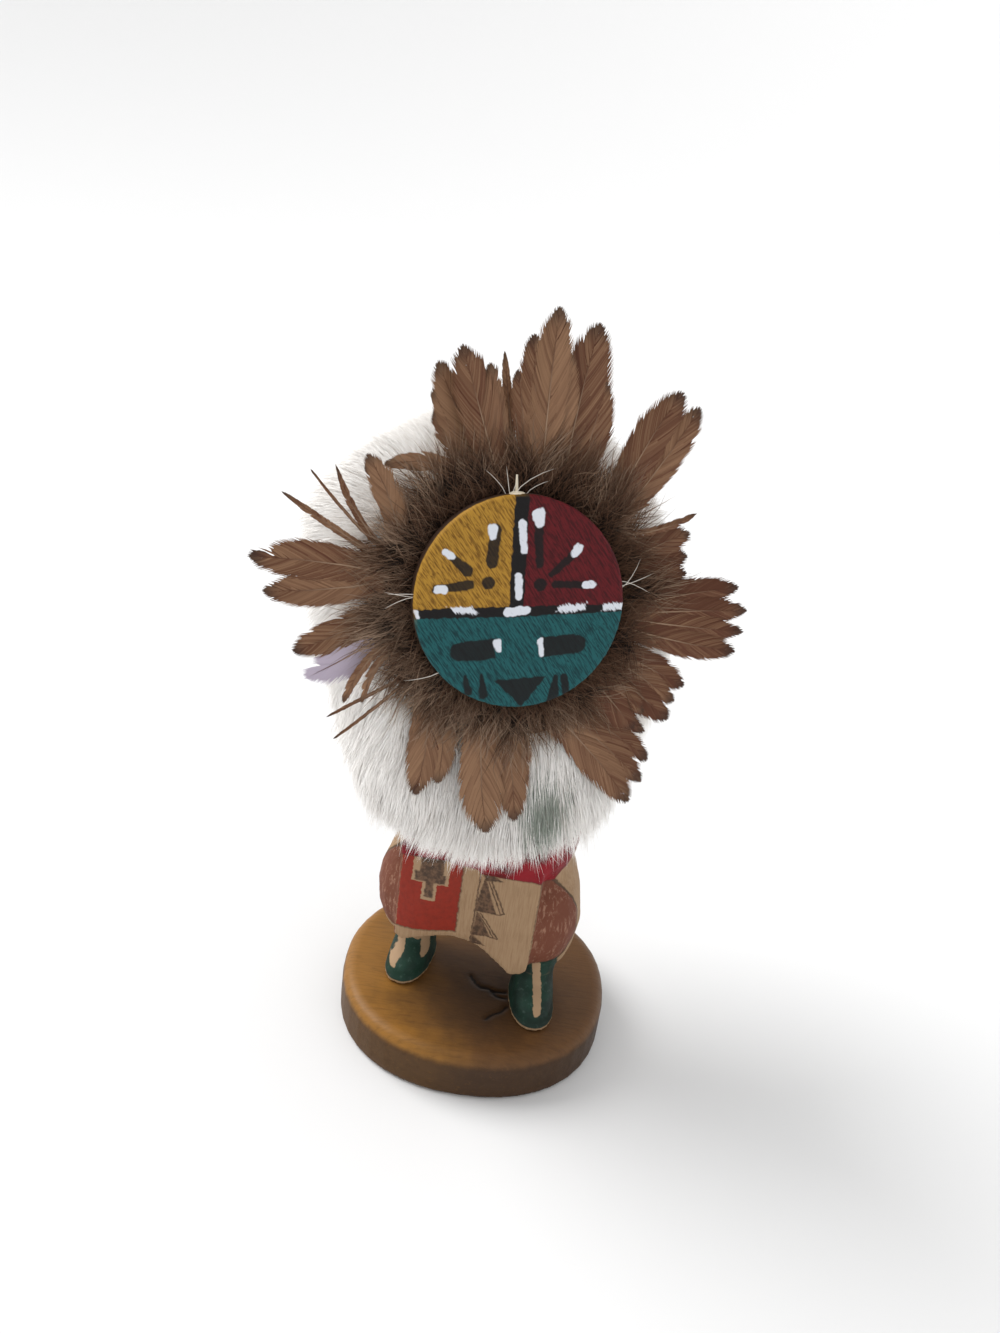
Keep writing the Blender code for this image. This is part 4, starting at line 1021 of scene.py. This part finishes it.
def one_feather(draw, start, end, width, bow, height, tone):
    """The ribbons of one feather: the web and the barbs down both its sides, then its shaft."""
    span = end - start
    length = np.linalg.norm(span)
    ahead = span / length
    side = np.array((-ahead[1], ahead[0]))
    pointed = draw.uniform(0.48, 0.72)
    fine = np.linspace(0, 1, OUTLINE_STEPS)
    swell = 0.40 + 0.60 * np.sin(np.clip(fine / 0.6, 0, 1) * math.pi / 2)
    rounding = (1 - np.clip((fine - 0.60) / 0.40, 0, 1) ** 2.2) ** pointed
    outline = FULLNESS * width / 2 * swell * rounding
    so_far = np.append(0, np.cumsum(np.hypot(np.diff(fine) * length, np.diff(outline))))
    steps = np.linspace(0, 1, BARB_STEPS)
    pieces = []

    def raised(flat):
        curl = CURL_FORWARD * (np.maximum(np.linalg.norm(flat, axis=-1) - FACE_EDGE, 0) / LONGEST) ** 2
        return height + curl

    def on_shaft(share):
        return start + span * share[..., None] + side * (bow * 4 * share * (1 - share))[..., None]

    # Broad flat barbs make a web on each side, and the fine barbs lie over it; both part at splits
    splits = draw.uniform(0.45, 0.97, (2, SPLITS))
    parted = draw.uniform(0.0, SPLIT_WIDTH, (2, SPLITS))
    for hand, web in ((-1, True), (1, True), (-1, False), (1, False)):
        count = max(int(so_far[-1] / (WEB_SPACING if web else BARB_SPACING)), 8)
        along_edge = np.linspace(0.01, 1, count) + draw.normal(0, 0.003, count)
        at = np.interp(along_edge * so_far[-1], so_far, fine)
        edge = np.interp(at, fine, outline)
        downy = np.clip((DOWNY_SHARE - at) / 0.3, 0, 1)
        edge = edge * (1 + draw.normal(0, 0.02 + 0.22 * downy, count)) * (0.88 if web else 1.0)
        tuft, within = np.divmod(at * length / TUFT + draw.uniform(0, 1), 1)
        strength = draw.uniform(0.05, 0.85, TUFTS)[tuft.astype(int)] * (0.0 if web else 1.0)
        edge *= 1.0 + draw.uniform(-0.09, 0.05, TUFTS)[tuft.astype(int)]
        gathered = at + (0.5 - within) * strength * TUFT * 0.40 * np.clip(1.5 - 1.25 * at, 0, 1) / length
        for split, gap in zip(splits[(hand + 1) // 2], parted[(hand + 1) // 2]):
            away = (gathered - split) * length
            gathered = gathered + np.sign(away) * gap * np.exp(-(away / SPLIT_REACH) ** 2) / length
        slant = np.radians(SLANT[0] - SLANT[1] * at)
        root = np.minimum(at - edge / np.tan(slant) / length, at - BARB_LEAST / length)
        root = np.clip(root, 0, 1)
        base = on_shaft(root)
        tip = on_shaft(gathered) + side * (hand * edge)[:, None]
        tip += draw.normal(0, 0.05 + 0.8 * downy[:, None], (count, 2)) - ahead * (0.7 if web else 0.0)
        bend = side * (hand * edge * 0.35)[:, None]
        flat = base[:, None] + (tip - base)[:, None] * steps[:, None]
        flat += bend[:, None] * (steps * (1 - steps))[:, None]
        arch = 0.45 * (edge[:, None] * steps / max(width / 2, 1.0)) ** 2
        lift = draw.normal(0, 0.03 + 0.55 * downy, count)[:, None] * steps
        lift -= WEB_DROP if web else 0.0
        spines = np.concatenate([flat, (raised(flat) - arch + lift)[..., None]], axis=-1)
        along = unit(np.gradient(spines, axis=1))
        across = unit(np.cross(np.array((0.0, 0.0, 1.0)), along))
        across[..., 2] += 0.0 if web else 0.16
        thick = min(WEB_WIDTH, width * 0.3) if web else BARB_WIDTH
        widths = (thick * (1 - 0.45 * downy))[:, None] * np.array(BARB_TAPER)
        if tone == UNDERSIDE_TONE:
            shade = np.where(at > 0.45, tone, 0.3)
        else:
            shade = np.clip(tone + draw.normal(0, 0.10, count) + (strength - 0.4) * 0.26, 0.03, 0.92)
        reach = np.clip(root[:, None] + (gathered - root)[:, None] * steps, 0.01, 0.99)
        pieces.append((spines, across, widths, shade, reach))
    share = np.linspace(0.3, 0.985, BARB_STEPS)
    flat = on_shaft(share)
    middle = np.concatenate([flat, (raised(flat) - WEB_DROP - 0.05)[:, None]], axis=-1)[None]
    across = np.tile(np.array((*side, 0.0)), (1, BARB_STEPS, 1))
    widths = np.full((1, BARB_STEPS), min(MIDDLE_WIDTH, width * 0.4))
    pieces.append((middle, across, widths, np.array([tone]), share[None]))
    share = np.linspace(0, 0.96, BARB_STEPS)
    flat = on_shaft(share)
    shaft = np.concatenate([flat, (raised(flat) + 0.10)[:, None]], axis=-1)[None]
    widths = np.linspace(*SHAFT_WIDTH, BARB_STEPS)[None]
    pieces.append((shaft, across, widths, np.array([SHAFT_TONE]), share[None] * 0.96 + 0.02))
    return pieces


vane = Finish("brown_feather", Roughness=0.58, Specular_IOR_Level=0.25)
tone, share = along_strand(vane)
vane.colour = vane.blend(vane.ease(tone, 0.1, 0.9), RED_BROWN, FAWN)
vane.lay(vane.ease(share, 0.84, 1.0) * 0.7, TIP_BROWN)
vane.lay(vane.ease(tone, 0.930, 0.942), UNDERSIDE)
shaft_colour = vane.blend(vane.ease(share, 0.3, 0.9), SHAFT_PALE, RED_BROWN)
vane.lay(vane.ease(tone, 0.968, 0.972), shaft_colour)
vane.coat()

draw = np.random.default_rng(23)
covers = []
for number, (layer, members) in GROUPS.items():
    pieces = []
    for member, (root_angle, root_radius, tip_angle, tip_radius, width, bow) in enumerate(members):
        start = polar(math.radians(root_angle), root_radius * ROOT_SHARE)
        end = polar(math.radians(tip_angle), tip_radius)
        height = -DOWN_MIDDLE_BEHIND - (layer - LAYERS_IN_FRONT) * LAYER_STEP
        height += MEMBER_STEP * ((len(members) - 1) / 2 - member)
        upright, sideways = abs(end[1]) / tip_radius, end[0] / tip_radius
        tone = 0.26 + 0.28 * upright - 0.10 * sideways + draw.normal(0, 0.09)
        covers.append((start, end, width, height))
        if (number, member) == TURNED_OVER:
            tone = UNDERSIDE_TONE
        pieces += one_feather(draw, start, end, width, bow, height, tone)
    spines, across, widths, tones, shares = (np.concatenate(parts) for parts in zip(*pieces))
    plume = ribbons(
        f"plume_{number:02d}", in_row(spines), turned(across), widths * MM, tones, shares)
    ride_as(plume, vane, "brown_feather", f"feather_{number:02d}")

# The pelt: white rabbit fur round the torso and the back of the head. Over a dense underfur the
# long hairs lie in soft locks, flow away from the face and down, and hang over the belt. At the
# figure's left the pelt is thin, and the green sleeve shows through.
PELT_VOXEL = 1.7 * MM
PELT_SHRINK = 3.6 * MM
# How far a ray goes to find the pelt's other side, how far to find anything over a face, and how
# far from the surface each ray starts
THROUGH = 30 * MM
OVERHEAD = 15 * MM
SKIN = 0.3 * MM
# The trunk that the hollow faces, seen from above, and how far from it the hollow reaches
HOLLOW_MIDDLE = (-6.0, 8.0)
HOLLOW_REACH = 27 * MM
# The pelt that the board and the down hide: its distance from the face's axis, and its depth
HIDDEN_WITHIN = 27 * MM
HIDDEN_DEPTH = 22 * MM
HAIRS = 102000
LOCKS = 5200
HAIR_LENGTH = (7.5, 11.0)
HEM_LENGTH = 0.66
HEM_TOP = 82 * MM
HEM_BOTTOM = 72 * MM
LONG_SHARE = 0.07
LONG_HEM = 1.55
HAIR_WIDTH = 0.17
HAIR_TAPER = (1.0, 0.9, 0.62, 0.0)
HAIR_LIFT = 0.33
# The height, in metres, below which the hair begins to fall, and the drop after which it falls fully
FALL_FROM = 0.168
FALL_OVER = 0.055
# This far behind the face it begins to lie down the back, and does so fully further on
BACK_FROM = 20 * MM
BACK_OVER = 25 * MM
PRESSED_BELOW = 1.1
SLEEVE_SPOT = Vector((9.5, -19.0, 87.0)) * MM
SLEEVE_SHAPE = (0.75, 1.3, 1.15)
SLEEVE_REACH = 8.0 * MM
SLEEVE_TONE = 0.05
FUR_SHADE = srgb(236, 231, 226)
FUR_LIGHT = srgb(249, 247, 244)
FUR_ROOT_SHADE = srgb(230, 221, 211)
FUR_GREEN = srgb(150, 157, 147)

skin = remeshed("fur_pelt", "pelt_underfur", PELT_VOXEL, smoothing=6)
points, normals = surface_of(skin)
faces = [tuple(face.vertices) for face in skin.data.polygons]
tree = BVHTree.FromPolygons([Vector(point) for point in points], faces)
inward = [
    tree.ray_cast(Vector(point - normal * SKIN), Vector(-normal), THROUGH)[3]
    for point, normal in zip(points, normals)]
thickness = np.array([THROUGH if reached is None else reached + SKIN for reached in inward])
move_points(skin, points - normals * np.minimum(PELT_SHRINK, thickness * 0.3)[:, None])
modify(skin, "SMOOTH", factor=0.5, iterations=2)
modify(skin, "TRIANGULATE")

points, normals = surface_of(skin)
corners = np.empty(3 * len(skin.data.polygons), np.int32)
skin.data.polygons.foreach_get("vertices", corners)
corners = corners.reshape(-1, 3)
middles = points[corners].mean(axis=1)
doubled = np.cross(
    points[corners[:, 1]] - points[corners[:, 0]], points[corners[:, 2]] - points[corners[:, 0]])
face_normals, areas = unit(doubled), np.linalg.norm(doubled, axis=1) / 2
tree = BVHTree.FromPolygons([Vector(point) for point in points], corners.tolist())
open_air = np.array([
    tree.ray_cast(Vector(middle + normal * SKIN), Vector(normal), OVERHEAD)[0] is None
    for middle, normal in zip(middles, face_normals)])
# The walls of the hollow face the trunk, and little hair shows behind the board and the down
trunk_way = middles[:, :2] - np.array(HOLLOW_MIDDLE) * MM
trunk_far = np.linalg.norm(trunk_way, axis=1)
in_hollow = (trunk_way * face_normals[:, :2]).sum(axis=1) < -0.3 * trunk_far
in_hollow &= trunk_far < HOLLOW_REACH
aside = middles - np.array(face_front)
out_of_face = aside @ np.array(face_out)
flat_radius = np.linalg.norm(aside - out_of_face[:, None] * np.array(face_out), axis=1)
hidden = (flat_radius < HIDDEN_WITHIN) & (out_of_face > -HIDDEN_DEPTH)
weights = areas * open_air * ~in_hollow * np.where(hidden, 0.05, 1.0)

draw = np.random.default_rng(5)
chosen = draw.choice(len(corners), HAIRS, p=weights / weights.sum())
mixing = draw.dirichlet((1, 1, 1), HAIRS)
roots = (points[corners[chosen]] * mixing[..., None]).sum(axis=1)
outward = unit((normals[corners[chosen]] * mixing[..., None]).sum(axis=1))


def flow(roots, outward):
    """Which way the hair lies at each root: away from the face, over the head and down."""
    aside = roots - np.array(face_front)
    depth = aside @ np.array(face_out)
    radial = aside - depth[:, None] * np.array(face_out)
    radial /= np.linalg.norm(radial, axis=1, keepdims=True) + 6 * MM
    back = np.clip((-depth - BACK_FROM) / BACK_OVER, 0, 1)[:, None]
    low = np.clip((FALL_FROM - roots[:, 2]) / FALL_OVER, 0, 1)[:, None]
    way = radial * (1 - back) - np.array(face_out) * 0.55
    way += np.array((0, 0, -1.0)) * np.maximum(low * 1.15, back * 1.1)
    swirl = 0.38 * waves(roots, 14 * MM, 2.0) + 0.22 * waves(roots, 4 * MM, 7.0)
    way = way + swirl[:, None] * np.cross(outward, way)
    way -= (way * outward).sum(axis=1, keepdims=True) * outward
    return unit(way)


way = flow(roots, outward)
at_hem = np.clip((HEM_TOP - roots[:, 2]) / (HEM_TOP - HEM_BOTTOM), 0, 1)
length = draw.uniform(*HAIR_LENGTH, HAIRS) * MM * (1 - (1 - HEM_LENGTH) * at_hem)
length *= 1 + 0.16 * waves(roots, 6 * MM, 5.0)
length *= np.where((draw.uniform(0, 1, HAIRS) < LONG_SHARE) & (at_hem > 0), LONG_HEM, 1.0)
lift = HAIR_LIFT * (1 + 0.35 * waves(roots, 7 * MM, 8.0)) + draw.normal(0, 0.11, HAIRS)
steps = np.linspace(0, 1, len(HAIR_TAPER))


def hair_path(roots, outward, way, length, lift):
    """Each hair's points: it rises from the skin, bends over and droops at its tip."""
    up = (lift * length)[:, None] * (1.5 * steps - 0.75 * steps ** 2)
    along = length[:, None] * steps * (0.86 + 0.08 * steps)
    droop = length[:, None] * 0.12 * steps ** 2.2
    path = roots[:, None] + outward[:, None] * up[..., None] + way[:, None] * along[..., None]
    path[..., 2] -= droop
    return path


spines = hair_path(roots, outward, way, length, lift)
lead = draw.choice(HAIRS, LOCKS, replace=False)
near = KDTree(LOCKS)
for place, index in enumerate(lead):
    near.insert(Vector(roots[index]), place)
near.balance()
lock = np.array([near.find(Vector(root))[1] for root in roots])
pull = np.clip(draw.normal(0.36, 0.16, HAIRS) + 0.25 * at_hem, 0, 0.9)[:, None] * steps ** 1.3
tips = spines[lead][lock] + (roots - roots[lead][lock])[:, None] * 0.35
spines += (tips - spines) * pull[..., None]
stray = draw.normal(0, 1, (HAIRS, 1, 3)) * (steps ** 1.5)[:, None] * 0.5 * MM
spines += stray * np.where(draw.uniform(0, 1, HAIRS) < 0.14, 2.6, 1.0)[:, None, None]
# Under a feather the hair lies pressed down
local = (spines - np.array(face_front)) @ np.array(face_turn) / MM
for start, end, width, height in covers:
    span = end - start
    share = np.clip((local[..., :2] - start) @ span / (span @ span), 0, 0.97)
    under = np.linalg.norm(local[..., :2] - start - share[..., None] * span, axis=-1) < width * 0.55 + 0.3
    local[..., 2] = np.where(under, np.minimum(local[..., 2], height - PRESSED_BELOW), local[..., 2])
spines = in_row(local)
along = unit(np.gradient(spines, axis=1))
across = unit(np.cross(along, outward[:, None] + draw.normal(0, 0.35, (HAIRS, 1, 3))))
widths = HAIR_WIDTH * MM * np.array(HAIR_TAPER) * draw.uniform(0.7, 1.25, (HAIRS, 1))
lock_tone = draw.normal(0, 0.07, LOCKS)
tones = np.clip(0.58 + lock_tone[lock] + draw.normal(0, 0.10, HAIRS), 0.14, 0.97)
from_sleeve = (roots - np.array(SLEEVE_SPOT)) / np.array(SLEEVE_SHAPE) / SLEEVE_REACH
thin = np.linalg.norm(from_sleeve, axis=1) + draw.normal(0, 0.28, HAIRS) < 0.85
tones[thin] = SLEEVE_TONE

hair = Finish("white_fur", Roughness=0.62)
tone, share = along_strand(hair)
hair.colour = hair.blend(hair.ease(tone, 0.15, 0.85), FUR_SHADE, FUR_LIGHT)
hair.lay(hair.ease(tone, 0.11, 0.09), FUR_GREEN)
# The hair is darker towards its root: painted shade deep in the fur
hair.colour = hair.blend(hair.ease(share, 0.0, 0.4), FUR_ROOT_SHADE, hair.colour)
hair.coat()

heading = np.arctan2(roots[:, 1] - roots[:, 1].mean(), roots[:, 0] - roots[:, 0].mean())
quarters = {
    "hair_front": (-0.75, -0.25),
    "hair_left": (-0.25, 0.25),
    "hair_back": (0.25, 0.75),
    "hair_right": (0.75, 1.25),
}
for name, (low, high) in quarters.items():
    inside = (heading / math.pi - low) % 2 < (high - low)
    locks_of_hair = ribbons(name, spines[inside], across[inside], widths[inside], tones[inside])
    ride_as(locks_of_hair, hair, "white_fur", "fur_pelt")

short_fur = Finish("underfur", Roughness=0.9)
matted = short_fur.speckle(short_fur.place(), 1.1, 3.0, 0.6)
# The underfur is coloured from the roots' painted shade to the duller white of the hair
short_fur.colour = short_fur.blend(matted, FUR_ROOT_SHADE, FUR_SHADE)
short_fur.coat()
short_fur.relief(matted, 0.0005, 0.7)
ride_as(skin, short_fur, "white_fur")
